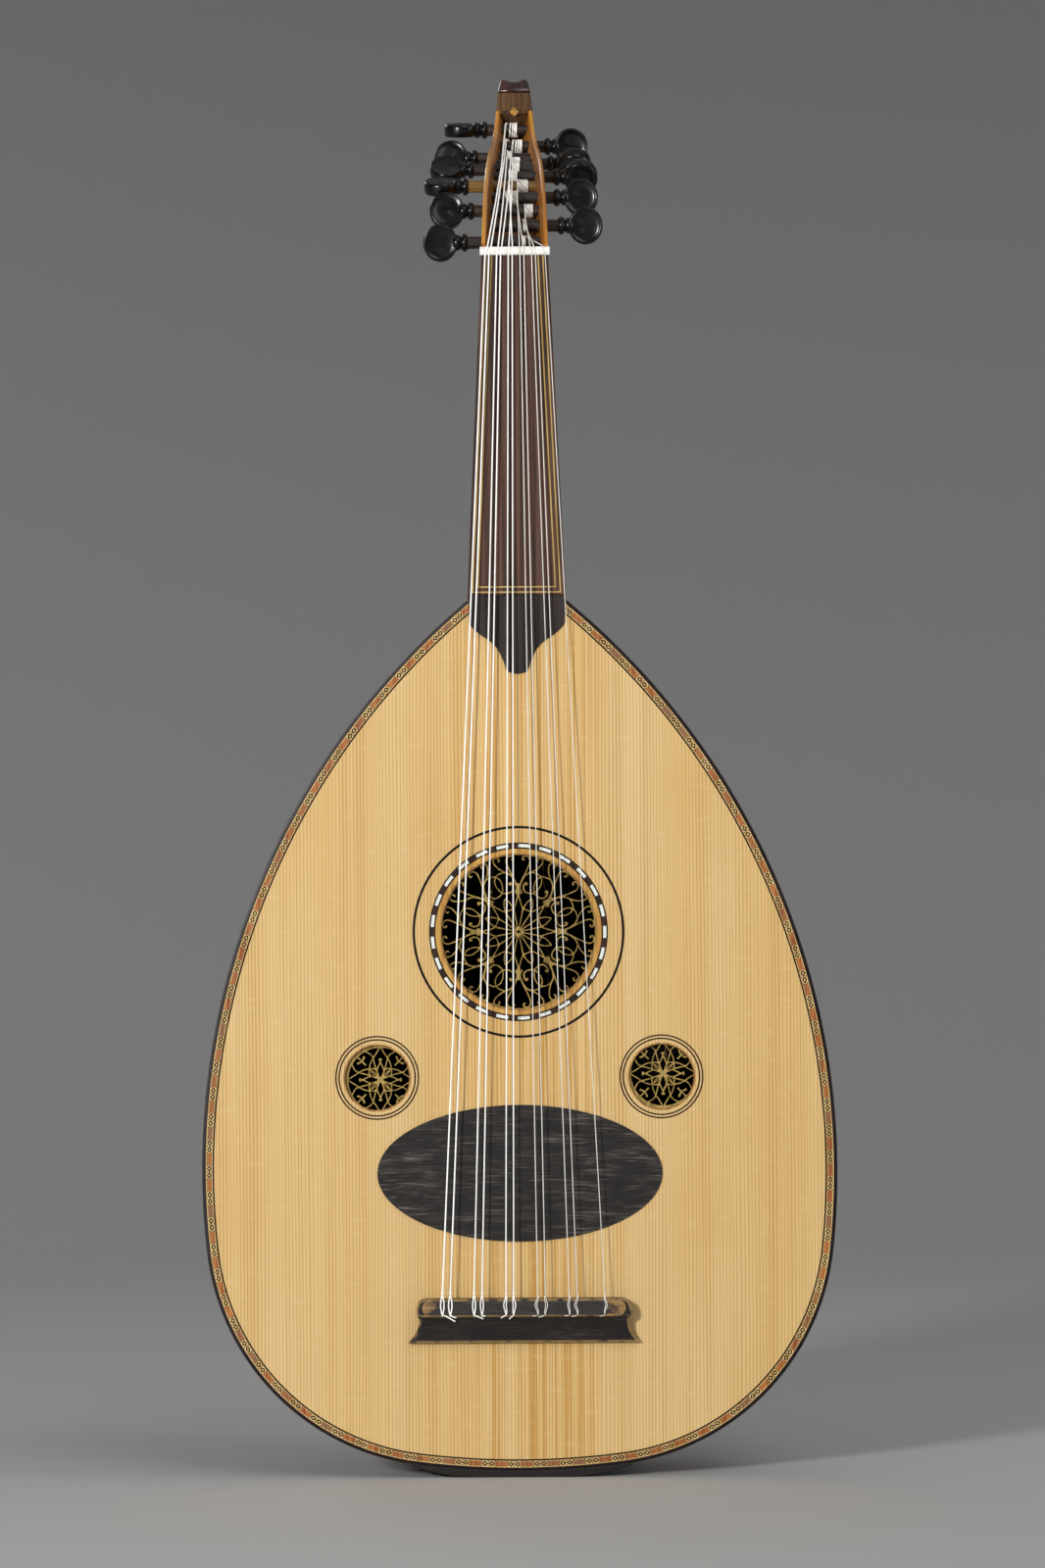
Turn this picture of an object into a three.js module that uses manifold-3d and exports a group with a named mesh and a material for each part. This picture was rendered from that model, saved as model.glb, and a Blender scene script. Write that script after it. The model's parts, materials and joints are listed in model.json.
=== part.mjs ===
// A short-necked lute (oud): a ribbed bowl closed by a flat soundboard, a fretless neck, a bent-back pegbox
// with eleven friction pegs, and eleven strings in five pairs and a single.
// Millimetres. +Z runs up the neck, -Y is the side that the soundboard faces, +X is the treble side.
// The origin is the middle of the small flat under the tail, on which the instrument rests.

import * as THREE from "three";
import { mergeVertices } from "three/addons/utils/BufferGeometryUtils.js";
import Module from "manifold-3d";

const wasm = await Module();
wasm.setup();

const { PI, sin, cos, tan, atan2, asin, sqrt, hypot } = Math;
const DEG = PI / 180;
const FIT_GAP = 0.3; // between glued neighbours that are cut or turned

// ---- Driving dimensions ----

// Body outline: three tangent arcs on each side, turned about the long axis for the bowl.
const BODY_HALF_WIDTH = 177.6;
const WIDEST_Z = 171.7;
const FLANK_RADIUS = 414.7;
const HIP_RADIUS = 135.2;
const TAIL_RADIUS = 453.5;
const BODY_TAIL_Z = 3.5; // the end clasp is this thick under the tail

const CLASP_DEPTH = 34;
const CLASP_HALF_LENGTH = 67;
const CLASP_FLAT_HALF_LENGTH = 24;
const CLASP_END_THICKNESS = 1; // under the body at its two ends
const CLASP_UPPER_CUT = 8; // the slab reaches this far above its ends before the body is cut out of it
const CLASP_SAG = 0.6; // how high the bend between the flat and the ends is pulled
const FACE_Y = -CLASP_DEPTH / 2; // front surface of the soundboard

const RIB_COUNT = 15;
const RIB_THICKNESS = 2.4;
const RIB_START_RADIUS = 15; // the ribs run together under the clasp

const BOARD_THICKNESS = 1.8;
const BINDING_WIDTH = 2;
const NECK_BLOCK_LENGTH = 34;
const TAIL_BLOCK_TOP_Z = 20;
const TAIL_BLOCK_REACH = 45;
const BRACE_WIDTH = 6;
const BRACE_HEIGHT = 13;
const BRACE_END_HEIGHT = 3.25;
const BRACE_TAPER = 39; // length over which each end comes down to its end height
const BRACE_END_INSET = 10; // from the body's outline
const BRACE_PLACES_Z = [60, 138, 252, 368]; // clear of the three holes

const ROSE_Z = 305.2;
const ROSE_HOLE_RADIUS = 44;
const SIDE_ROSE_X = 79.5;
const SIDE_ROSE_Z = 223.9;
const SIDE_ROSE_HOLE_RADIUS = 18.5;
const ROSE_RIM = 2.5; // glued rim around a rose, behind the soundboard
const ROSE_THICKNESS = 1.6;

const PICK_GUARD_Z = 170.2;
const PICK_GUARD_HALF_WIDTH = 79.7;
const PICK_GUARD_HALF_HEIGHT = 38.2;
const VENEER = 0.8; // pick guard, fingerboard tongue and fingerboard stand this proud

const BRIDGE_BOTTOM_Z = 75.9;
const BRIDGE_TOP_Z = 100.6;
const BRIDGE_BAR_HALF_WIDTH = 60;
const BRIDGE_FOOT_HALF_WIDTH = 65;
const BRIDGE_END_RADIUS = 8;
const BRIDGE_WAIST = 58; // half width where the foot's hollow end runs into the bar's round end
const BRIDGE_HEIGHT = 9;
const BRIDGE_SKIRT_HEIGHT = 4;

const NECK_JOINT_Z = 490.8;
const FINGERBOARD_START_Z = 493.7;
const NUT_Z = 683.7;
const NUT_LENGTH = 5.2;
const NUT_WIDTH = 39;
const NUT_RISE = 2.2;
const NECK_ROOT_HALF_WIDTH = 27.7;
const NECK_TOP_HALF_WIDTH = 18.65;
const NECK_TOP_DEPTH = 20.6;
const FINGERBOARD_THICKNESS = 3;
const TONGUE_TIP_Z = 449.7;
const TONGUE_SHOULDER_RISE = 30; // its straight sides start this far above the tip
const TONGUE_WAIST_RISE = 12; // where the two curves of each flank meet
const TONGUE_WAIST_HALF_WIDTH = 11;

// Pegbox: its front edge leaves the nut at ROOT_TILT from the neck, bends back to MIDDLE_TILT along one arc
// and turns forward again to TIP_TILT along a second.
const ROOT_TILT = 41 * DEG;
const MIDDLE_TILT = 76 * DEG;
const TIP_TILT = 25 * DEG;
const BACKWARD_ARC = 128;
const FORWARD_ARC = 70;
const PEGBOX_LENGTH = BACKWARD_ARC + FORWARD_ARC;
const PEGBOX_ROOT_WIDTH = 37.3;
const PEGBOX_TIP_WIDTH = 19.1;
const PEGBOX_BULGE = 8.5;
const PEGBOX_ROOT_DEPTH = 24;
const PEGBOX_TIP_DEPTH = 19;
const CHEEK_EDGE = 3.2; // cheek thickness at its front edge
const CHEEK_BASE = 4.4; // and at the back plate
const BACK_PLATE = 3.5;
const END_BLOCK_START = 176;
const CAP_START = 191;
const CAP_LIP = 1; // the cap stands this far in front of the cheeks' edges

const PEG_COUNT = 11;
const FIRST_PEG = 12.8; // along the front edge from the nut
const PEG_SPACING = 15.8;
const PEG_DEPTH_SHARE = 0.47; // of the pegbox's depth, behind its front edge
const PEG_SHAFT_RADIUS = 3.45;
const PEG_TIP_RADIUS = 3;
const PEG_COLLAR_RADIUS = 4.4;
const PEG_COLLAR_START = 10.5; // from the cheek outward
const PEG_COLLAR_LENGTH = 4.2;
const PEG_COLLAR_BEVEL = 0.8;
const PEG_NECK_OVERLAP = 2; // the shaft runs this far into the head
const PEG_TAPER_REACH = 1.5; // beyond each cheek's inner face
const PEG_TIP_INSET = 0.2; // behind the far cheek's outer face
const PEG_HOLE_CLEARANCE = 0.25;
const PEG_HEAD_CENTRE = 23.5;
const PEG_HEAD_RADIUS = 10;
const PEG_HEAD_HALF_THICKNESS = 3.9;
const PEG_SIDES = 10;
const PEG_HEAD_SIDES = 14;
// How far each thumb disc is turned from facing forward, from the nut to the tip.
const PEG_TURNS_DEG = [-5, 5, 12, 0, 72, 35, 50, 55, 20, 5, 80];
// How much farther each peg is pushed in than the first one.
const PEG_PUSHES = [0, 1.5, 2.7, 2.8, -1.8, 1.3, -0.4, 3, 0, 2.5, 3.3];

// Strings: courses are evenly spread at the bridge and at the nut.
const STRING_DIAMETERS = [1.1, 1.0, 0.9, 0.75, 0.7, 0.65]; // one per course, bass first
const STRING_SIDES = 5;
const PAIRED_COURSES = 5;
const FIRST_COURSE_AT_BRIDGE = -41.4;
const COURSE_SPACING_AT_BRIDGE = 17.7;
const PAIR_GAP_AT_BRIDGE = 4.4;
const FIRST_COURSE_AT_NUT = -15.5;
const COURSE_SPACING_AT_NUT = 6.5;
const PAIR_GAP_AT_NUT = 2.2;
const STRING_HEIGHT_AT_BRIDGE = 6.4;
const NUT_CONVERGENCE = 0.91; // strings bend inward over the nut
const WINDING_CONVERGENCE = 0.39; // and wind near the pegs' middles
const PAIR_GAP_AT_PEGS = 1.3;
const WINDING_CLEARANCE = 0.6;
const WINDING_TURNS = 1.5;
const WINDING_STEP = 36 * DEG;
const WINDING_PITCH = 1.3; // in string diameters
const NUT_SLOT_GAP = 0.1;
const PASSING_CLEARANCE = 1.4; // how much farther out a string passes other strings' windings

// ---- Materials ----

const wood = (color, roughness) => new THREE.MeshStandardMaterial({ color, roughness, metalness: 0 });
const MATERIALS = {
  darkRib: wood(0x4a2a1a, 0.35),
  lightRib: wood(0xa8683a, 0.35),
  clasp: wood(0x241511, 0.4),
  spruce: wood(0xd9b87c, 0.6),
  binding: wood(0x1d1416, 0.4),
  rawSpruce: wood(0xd8bd8a, 0.8),
  neck: wood(0x5a3420, 0.4),
  fingerboard: wood(0x4b3a33, 0.55),
  tongue: wood(0x2e2628, 0.6),
  nut: wood(0xe8e4da, 0.4),
  cheek: wood(0xa8681e, 0.35),
  backPlate: wood(0x6b4220, 0.4),
  endBlock: wood(0x5c4028, 0.5),
  cap: wood(0x3b1f1a, 0.15),
  peg: wood(0x151314, 0.25),
  bridge: wood(0x2b2422, 0.5),
  pickGuard: wood(0x23211f, 0.65),
  rose: wood(0x8a7440, 0.7),
  string: wood(0xe6e2d2, 0.3),
};

// ---- Solids ----

const vec = (x, y, z) => new THREE.Vector3(x, y, z);

function solidOf(geometry) {
  const bare = geometry.clone().deleteAttribute("normal").deleteAttribute("uv");
  const merged = mergeVertices(bare, 1e-4);
  return new wasm.Manifold(
    new wasm.Mesh({
      numProp: 3,
      vertProperties: merged.attributes.position.array,
      triVerts: new Uint32Array(merged.index.array),
    }),
  );
}

function geometryOf(solid) {
  const mesh = solid.getMesh();
  const geometry = new THREE.BufferGeometry();
  geometry.setAttribute("position", new THREE.BufferAttribute(new Float32Array(mesh.vertProperties), 3));
  geometry.setIndex(new THREE.BufferAttribute(new Uint32Array(mesh.triVerts), 1));
  geometry.computeVertexNormals();
  return geometry;
}

const joined = (geometries) => geometryOf(geometries.map(solidOf).reduce((a, b) => a.add(b)));
const cut = (geometry, tools) =>
  geometryOf(tools.map(solidOf).reduce((a, b) => a.subtract(b), solidOf(geometry)));
const common = (a, b) => geometryOf(solidOf(a).intersect(solidOf(b)));

// A solid through a row of convex rings, each listed counter-clockwise as seen from the next ring.
function loft(rings) {
  const corners = rings[0].length;
  const index = [];
  for (let ring = 0; ring < rings.length - 1; ring++) {
    for (let corner = 0; corner < corners; corner++) {
      const a = ring * corners + corner;
      const b = ring * corners + ((corner + 1) % corners);
      index.push(a, b, a + corners, b, b + corners, a + corners);
    }
  }
  const last = (rings.length - 1) * corners;
  for (let corner = 1; corner < corners - 1; corner++) {
    index.push(0, corner + 1, corner);
    index.push(last, last + corner, last + corner + 1);
  }
  const geometry = new THREE.BufferGeometry().setFromPoints(rings.flat());
  geometry.setIndex(index);
  geometry.computeVertexNormals();
  return geometry;
}

// A flat plate cut to a shape drawn in X and Z, with its front surface at frontY.
function plate(shape, thickness, frontY, curveSegments = 12) {
  const geometry = new THREE.ExtrudeGeometry(shape, { depth: thickness, bevelEnabled: false, curveSegments });
  return geometry.rotateX(PI / 2).translate(0, frontY + thickness, 0);
}

function block(low, high) {
  const size = high.clone().sub(low);
  const middle = low.clone().add(high).multiplyScalar(0.5);
  return new THREE.BoxGeometry(size.x, size.y, size.z).translate(middle.x, middle.y, middle.z);
}

// Round bar along a row of points, with its rings turned as little as possible from one to the next.
function roundBar(points, radius, sides) {
  const directions = points.map((point, i) => {
    const before = points[Math.max(i - 1, 0)];
    const after = points[Math.min(i + 1, points.length - 1)];
    return after.clone().sub(before).normalize();
  });
  const across = vec(1, 0, 0).cross(directions[0]).normalize();
  const rings = points.map((point, i) => {
    across.addScaledVector(directions[i], -across.dot(directions[i])).normalize();
    const other = directions[i].clone().cross(across);
    return Array.from({ length: sides }, (_, k) => {
      const angle = (2 * PI * k) / sides;
      const [a, b] = [radius * cos(angle), radius * sin(angle)];
      return point.clone().addScaledVector(across, a).addScaledVector(other, b);
    });
  });
  return loft(rings);
}

const group = new THREE.Group();
function add(name, geometry, material) {
  const mesh = new THREE.Mesh(geometry, material);
  mesh.name = name;
  group.add(mesh);
}

// ---- Body outline ----

const flankCentre = { x: BODY_HALF_WIDTH - FLANK_RADIUS, z: WIDEST_Z };
const tailCentre = { x: 0, z: BODY_TAIL_Z + TAIL_RADIUS };
// The hip arc touches both: its centre lies at known distances from the flank's and the tail's centres.
const hipCentre = (() => {
  const fromFlank = FLANK_RADIUS - HIP_RADIUS;
  const fromTail = TAIL_RADIUS - HIP_RADIUS;
  const dx = tailCentre.x - flankCentre.x;
  const dz = tailCentre.z - flankCentre.z;
  const apart = hypot(dx, dz);
  const along = (fromFlank ** 2 - fromTail ** 2 + apart ** 2) / (2 * apart);
  const aside = sqrt(fromFlank ** 2 - along ** 2);
  return {
    x: flankCentre.x + (along * dx + aside * dz) / apart,
    z: flankCentre.z + (along * dz - aside * dx) / apart,
  };
})();
const tailTurn = atan2(hipCentre.z - tailCentre.z, hipCentre.x - tailCentre.x);
const hipTurn = atan2(hipCentre.z - flankCentre.z, hipCentre.x - flankCentre.x);

function arcPoints(centre, radius, from, to, steps) {
  return Array.from({ length: steps + 1 }, (_, i) => {
    const angle = from + ((to - from) * i) / steps;
    return { x: centre.x + radius * cos(angle), z: centre.z + radius * sin(angle) };
  });
}

// The right half of the outline from startX at the tail to the neck joint, moved inward by inset.
function sideOutline(inset, startX = 0) {
  const tailAngle = -PI / 2 + asin(startX / TAIL_RADIUS);
  const topAngle = asin((NECK_JOINT_Z - flankCentre.z) / FLANK_RADIUS);
  const tail = arcPoints(tailCentre, TAIL_RADIUS - inset, tailAngle, tailTurn, 3);
  tail[0].x = Math.max(tail[0].x, 0);
  return [
    ...tail,
    ...arcPoints(hipCentre, HIP_RADIUS - inset, tailTurn, hipTurn, 8).slice(1),
    ...arcPoints(flankCentre, FLANK_RADIUS - inset, hipTurn, topAngle, 9).slice(1),
  ];
}

function halfWidthAt(z) {
  const onFlank = z > flankCentre.z + FLANK_RADIUS * sin(hipTurn);
  const { centre, radius } = onFlank
    ? { centre: flankCentre, radius: FLANK_RADIUS }
    : { centre: hipCentre, radius: HIP_RADIUS };
  return centre.x + sqrt(radius ** 2 - (z - centre.z) ** 2);
}

const mirrored = (points) => points.map(({ x, z }) => ({ x: -x, z })).reverse();
const shapeOf = (points) => new THREE.Shape(points.map(({ x, z }) => new THREE.Vector2(x, z)));

// ---- Bowl ----

const BOWL_FRONT_Y = FACE_Y + BOARD_THICKNESS + FIT_GAP;

// Rib edges lie in planes through the soundboard's centre line, each held half a gap back from the joint.
function rib(number) {
  const edges = [0, 1].map((side) => (PI * (number + side)) / RIB_COUNT);
  const outside = sideOutline(0, RIB_START_RADIUS);
  const inside = sideOutline(RIB_THICKNESS, RIB_START_RADIUS);
  const corner = ({ x, z }, side) => {
    const offset = (side === 0 ? 1 : -1) * (FIT_GAP / 2);
    const angle = edges[side];
    const y = BOWL_FRONT_Y + x * sin(angle) + offset * cos(angle);
    return vec(x * cos(angle) - offset * sin(angle), y, z);
  };
  const section = (outer, i) => [
    corner(inside[i], 0),
    corner(outer, 0),
    corner(outer, 1),
    corner(inside[i], 1),
  ];
  return loft(outside.map(section));
}

// A block that fills the inside of the bowl between two heights, as wide and as deep as reach.
function bowlBlock(lowZ, highZ, reach) {
  const side = sideOutline(RIB_THICKNESS + FIT_GAP);
  const profile = [...side, { x: 0, z: side.at(-1).z }].map(({ x, z }) => new THREE.Vector2(x, z));
  const turned = new THREE.LatheGeometry(profile, 2 * RIB_COUNT).rotateX(PI / 2).translate(0, BOWL_FRONT_Y, 0);
  return common(turned, block(vec(-reach, BOWL_FRONT_Y, lowZ), vec(reach, BOWL_FRONT_Y + reach, highZ)));
}

function endClasp() {
  const lower = new THREE.Shape();
  const bodyEndZ = tailCentre.z - sqrt((TAIL_RADIUS + FIT_GAP) ** 2 - CLASP_HALF_LENGTH ** 2);
  const endZ = bodyEndZ - CLASP_END_THICKNESS;
  const topZ = bodyEndZ + CLASP_UPPER_CUT;
  const bend = (CLASP_HALF_LENGTH + CLASP_FLAT_HALF_LENGTH) / 2;
  lower.moveTo(-CLASP_FLAT_HALF_LENGTH, 0);
  lower.lineTo(CLASP_FLAT_HALF_LENGTH, 0);
  lower.quadraticCurveTo(bend, CLASP_SAG, CLASP_HALF_LENGTH, endZ);
  lower.lineTo(CLASP_HALF_LENGTH, topZ);
  lower.lineTo(-CLASP_HALF_LENGTH, topZ);
  lower.lineTo(-CLASP_HALF_LENGTH, endZ);
  lower.quadraticCurveTo(-bend, CLASP_SAG, -CLASP_FLAT_HALF_LENGTH, 0);
  const slab = plate(lower, CLASP_DEPTH, FACE_Y, 6);
  const side = sideOutline(-FIT_GAP);
  const profile = [...side, { x: 0, z: side.at(-1).z }].map(({ x, z }) => new THREE.Vector2(x, z));
  const bowl = new THREE.LatheGeometry(profile, 48).rotateX(PI / 2).translate(0, BOWL_FRONT_Y, 0);
  const front = plate(shapeOf([...side, ...mirrored(side).slice(0, -1)]), 2 * BOARD_THICKNESS, FACE_Y - 1);
  return cut(slab, [bowl, front]);
}

// ---- Soundboard and what is glued to it ----

function soundboard() {
  const top = FINGERBOARD_START_Z - FIT_GAP;
  const side = [...sideOutline(BINDING_WIDTH), { x: halfWidthAt(top) - BINDING_WIDTH - 1, z: top }];
  const shape = shapeOf([...side, ...mirrored(side).slice(0, -1)]);
  const hole = (x, z, radius) => shape.holes.push(new THREE.Path().absarc(x, z, radius, 0, 2 * PI, true));
  hole(0, ROSE_Z, ROSE_HOLE_RADIUS);
  hole(-SIDE_ROSE_X, SIDE_ROSE_Z, SIDE_ROSE_HOLE_RADIUS);
  hole(SIDE_ROSE_X, SIDE_ROSE_Z, SIDE_ROSE_HOLE_RADIUS);
  return plate(shape, BOARD_THICKNESS, FACE_Y, 16);
}

function edgeBinding() {
  const outside = sideOutline(0);
  const inside = sideOutline(BINDING_WIDTH - 0.05);
  const outer = [...mirrored(outside), ...outside.slice(1)];
  const inner = [...mirrored(inside), ...inside.slice(1)].reverse();
  return plate(shapeOf([...outer, ...inner]), BOARD_THICKNESS, FACE_Y);
}

function brace(z) {
  const half = halfWidthAt(z) - BRACE_END_INSET;
  const front = FACE_Y + BOARD_THICKNESS;
  const shape = new THREE.Shape();
  shape.moveTo(-half, 0);
  shape.lineTo(half, 0);
  shape.lineTo(half, BRACE_END_HEIGHT);
  shape.lineTo(half - BRACE_TAPER, BRACE_HEIGHT);
  shape.lineTo(-half + BRACE_TAPER, BRACE_HEIGHT);
  shape.lineTo(-half, BRACE_END_HEIGHT);
  const geometry = new THREE.ExtrudeGeometry(shape, { depth: BRACE_WIDTH, bevelEnabled: false });
  return geometry.translate(0, front, z - BRACE_WIDTH / 2);
}

function disc(radius, thickness, frontY, segments) {
  const geometry = new THREE.CylinderGeometry(radius, radius, thickness, segments);
  return geometry.translate(0, frontY + thickness / 2, 0);
}

// A pierced disc: a rim, a centre boss, and bars with a ring part way along them.
function rose(holeRadius, bars, centreX, centreZ) {
  const front = FACE_Y + BOARD_THICKNESS;
  const ring = (outer, inner, segments) => {
    const shape = new THREE.Shape().absarc(0, 0, outer, 0, 2 * PI, false);
    shape.holes.push(new THREE.Path().absarc(0, 0, inner, 0, 2 * PI, true));
    return plate(shape, ROSE_THICKNESS, front, segments);
  };
  const barWidth = holeRadius / 14;
  const bar = (i) =>
    block(vec(0, front, -barWidth / 2), vec(holeRadius, front + ROSE_THICKNESS, barWidth / 2)).rotateY(
      (2 * PI * i) / bars,
    );
  const pierced = joined([
    ring(holeRadius + ROSE_RIM, holeRadius - ROSE_RIM / 2, 12),
    ring(holeRadius * 0.6, holeRadius * 0.53, 8),
    disc(holeRadius / 7, ROSE_THICKNESS, front, 12),
    ...Array.from({ length: bars }, (_, i) => bar(i)),
  ]);
  return pierced.translate(centreX, 0, centreZ);
}

function pickGuard() {
  const shape = new THREE.Shape();
  shape.absellipse(0, PICK_GUARD_Z, PICK_GUARD_HALF_WIDTH, PICK_GUARD_HALF_HEIGHT, 0, 2 * PI);
  return plate(shape, VENEER, FACE_Y - VENEER, 24);
}

// A bar with round ends over a foot that spreads to two points, sloping down to a thin lower edge.
function bridge() {
  const barBottom = BRIDGE_TOP_Z - 2 * BRIDGE_END_RADIUS;
  const barEnd = BRIDGE_BAR_HALF_WIDTH - BRIDGE_END_RADIUS;
  const endZ = BRIDGE_TOP_Z - BRIDGE_END_RADIUS;
  const waistZ = barBottom - BRIDGE_SKIRT_HEIGHT;
  const shape = new THREE.Shape();
  shape.moveTo(-BRIDGE_FOOT_HALF_WIDTH, BRIDGE_BOTTOM_Z);
  shape.lineTo(BRIDGE_FOOT_HALF_WIDTH, BRIDGE_BOTTOM_Z);
  const shoulder = BRIDGE_END_RADIUS * cos(PI / 4);
  shape.quadraticCurveTo(BRIDGE_WAIST, waistZ, barEnd + shoulder, endZ - shoulder);
  shape.absarc(barEnd, endZ, BRIDGE_END_RADIUS, -PI / 4, PI / 2, false);
  shape.lineTo(-barEnd, BRIDGE_TOP_Z);
  shape.absarc(-barEnd, endZ, BRIDGE_END_RADIUS, PI / 2, (5 * PI) / 4, false);
  shape.quadraticCurveTo(-BRIDGE_WAIST, waistZ, -BRIDGE_FOOT_HALF_WIDTH, BRIDGE_BOTTOM_Z);
  const whole = plate(shape, BRIDGE_HEIGHT, FACE_Y - BRIDGE_HEIGHT, 6);
  const slope = atan2(BRIDGE_HEIGHT - BRIDGE_SKIRT_HEIGHT, barBottom - BRIDGE_BOTTOM_Z);
  const reach = 2 * BRIDGE_FOOT_HALF_WIDTH;
  const shaving = block(vec(-reach, -reach, -reach), vec(reach, 0, 0))
    .rotateX(slope)
    .translate(0, FACE_Y - BRIDGE_HEIGHT, barBottom);
  return cut(whole, [shaving]);
}

// ---- Neck ----

const NECK_FRONT_Y = FACE_Y - VENEER + FINGERBOARD_THICKNESS;
// The plane where neck and pegbox meet passes behind the nut; this is where it reaches the soundboard's level.
const MITRE_TOP_Z = NUT_Z + NUT_LENGTH + (NECK_FRONT_Y - FACE_Y) * tan(ROOT_TILT);

function neckHalfWidthAt(z) {
  const along = (z - NECK_JOINT_Z) / (NUT_Z - NECK_JOINT_Z);
  return NECK_ROOT_HALF_WIDTH + (NECK_TOP_HALF_WIDTH - NECK_ROOT_HALF_WIDTH) * along;
}

// Half-round bar under the fingerboard; its top end is mitred to meet the pegbox.
function neck() {
  const bodyEnd = NECK_JOINT_Z + FIT_GAP;
  const rootDepth = BOWL_FRONT_Y + NECK_ROOT_HALF_WIDTH - NECK_FRONT_Y;
  const ARCH_STEPS = 10;
  const ring = (z, mitre) => {
    const along = (z - bodyEnd) / (NUT_Z - bodyEnd);
    const depth = rootDepth + (NECK_TOP_DEPTH - VENEER - rootDepth) * Math.min(along, 1);
    const half = neckHalfWidthAt(Math.min(z, NUT_Z));
    return Array.from({ length: ARCH_STEPS + 1 }, (_, i) => {
      const angle = (PI * i) / ARCH_STEPS;
      const y = NECK_FRONT_Y + depth * sin(angle);
      const endZ = mitre ? z - FIT_GAP / cos(ROOT_TILT) - (y - FACE_Y) * tan(ROOT_TILT) : z;
      return vec(half * cos(angle), y, endZ);
    });
  };
  const rings = [ring(bodyEnd, false), ring((bodyEnd + NUT_Z) / 2, false), ring(MITRE_TOP_Z, true)];
  return loft(rings);
}

function fingerboard() {
  const [low, high] = [FINGERBOARD_START_Z, NUT_Z];
  const shape = shapeOf([
    { x: -neckHalfWidthAt(low), z: low },
    { x: neckHalfWidthAt(low), z: low },
    { x: neckHalfWidthAt(high), z: high },
    { x: -neckHalfWidthAt(high), z: high },
  ]);
  return plate(shape, FINGERBOARD_THICKNESS - 0.05, FACE_Y - VENEER);
}

// The fingerboard's pointed end, a veneer on the soundboard: shoulders, hollow flanks and a small round tip.
function fingerboardTongue() {
  const top = FINGERBOARD_START_Z - FIT_GAP;
  const half = NECK_ROOT_HALF_WIDTH - 1;
  const shoulderZ = TONGUE_TIP_Z + TONGUE_SHOULDER_RISE;
  const waist = TONGUE_WAIST_HALF_WIDTH;
  const waistZ = TONGUE_TIP_Z + TONGUE_WAIST_RISE;
  const shape = new THREE.Shape();
  shape.moveTo(half, top);
  shape.lineTo(-half, top);
  shape.lineTo(-half, shoulderZ);
  shape.bezierCurveTo(-half, shoulderZ - 10, -waist - 3, waistZ + 10, -waist, waistZ);
  shape.bezierCurveTo(-waist + 2, waistZ - 4, -waist / 2, TONGUE_TIP_Z, 0, TONGUE_TIP_Z);
  shape.bezierCurveTo(waist / 2, TONGUE_TIP_Z, waist - 2, waistZ - 4, waist, waistZ);
  shape.bezierCurveTo(waist + 3, waistZ + 10, half, shoulderZ - 10, half, shoulderZ);
  return plate(shape, VENEER, FACE_Y - VENEER, 8);
}

function nut() {
  return block(
    vec(-NUT_WIDTH / 2, FACE_Y - NUT_RISE, NUT_Z + 0.05),
    vec(NUT_WIDTH / 2, NECK_FRONT_Y - 0.05, NUT_Z + NUT_LENGTH - FIT_GAP),
  );
}

// ---- Pegbox ----

// A place on the pegbox: distance along its front edge, and depth behind that edge, square to it.
const backwardRadius = BACKWARD_ARC / (MIDDLE_TILT - ROOT_TILT);
const forwardRadius = FORWARD_ARC / (MIDDLE_TILT - TIP_TILT);
const edgeRoot = { y: FACE_Y, z: MITRE_TOP_Z };

function tiltAt(along) {
  return along < BACKWARD_ARC
    ? ROOT_TILT + along / backwardRadius
    : MIDDLE_TILT - (along - BACKWARD_ARC) / forwardRadius;
}

function edgeAt(along) {
  const first = tiltAt(Math.min(along, BACKWARD_ARC));
  const y = edgeRoot.y + backwardRadius * (cos(ROOT_TILT) - cos(first));
  const z = edgeRoot.z + backwardRadius * (sin(first) - sin(ROOT_TILT));
  if (along <= BACKWARD_ARC) return { y, z };
  const second = tiltAt(along);
  return {
    y: y + forwardRadius * (cos(second) - cos(MIDDLE_TILT)),
    z: z + forwardRadius * (sin(MIDDLE_TILT) - sin(second)),
  };
}

function pegboxPoint(x, along, depth) {
  const edge = edgeAt(along);
  const tilt = tiltAt(along);
  return vec(x, edge.y + depth * cos(tilt), edge.z - depth * sin(tilt));
}

function pegboxHalfWidth(along) {
  const share = along / PEGBOX_LENGTH;
  const straight = PEGBOX_ROOT_WIDTH + (PEGBOX_TIP_WIDTH - PEGBOX_ROOT_WIDTH) * share;
  return (straight + PEGBOX_BULGE * share * (1 - share)) / 2;
}

function pegboxDepth(along) {
  return PEGBOX_ROOT_DEPTH + ((PEGBOX_TIP_DEPTH - PEGBOX_ROOT_DEPTH) * along) / PEGBOX_LENGTH;
}

function stations(from, to, steps) {
  return Array.from({ length: steps + 1 }, (_, i) => from + ((to - from) * i) / steps);
}

// A pegbox member whose cross-section is four corners (x, depth) that change along the box.
function pegboxMember(from, to, steps, section) {
  const ring = (along) => section(along).map(([x, depth]) => pegboxPoint(x, along, depth));
  return loft(stations(from, to, steps).map(ring));
}

const pegPlaces = Array.from({ length: PEG_COUNT }, (_, i) => {
  const along = FIRST_PEG + PEG_SPACING * i;
  const side = i % 2 === 0 ? -1 : 1; // heads stand alternately on the bass and the treble side
  const depth = PEG_DEPTH_SHARE * pegboxDepth(along);
  return { along, side, depth, centre: pegboxPoint(0, along, depth) };
});

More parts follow.
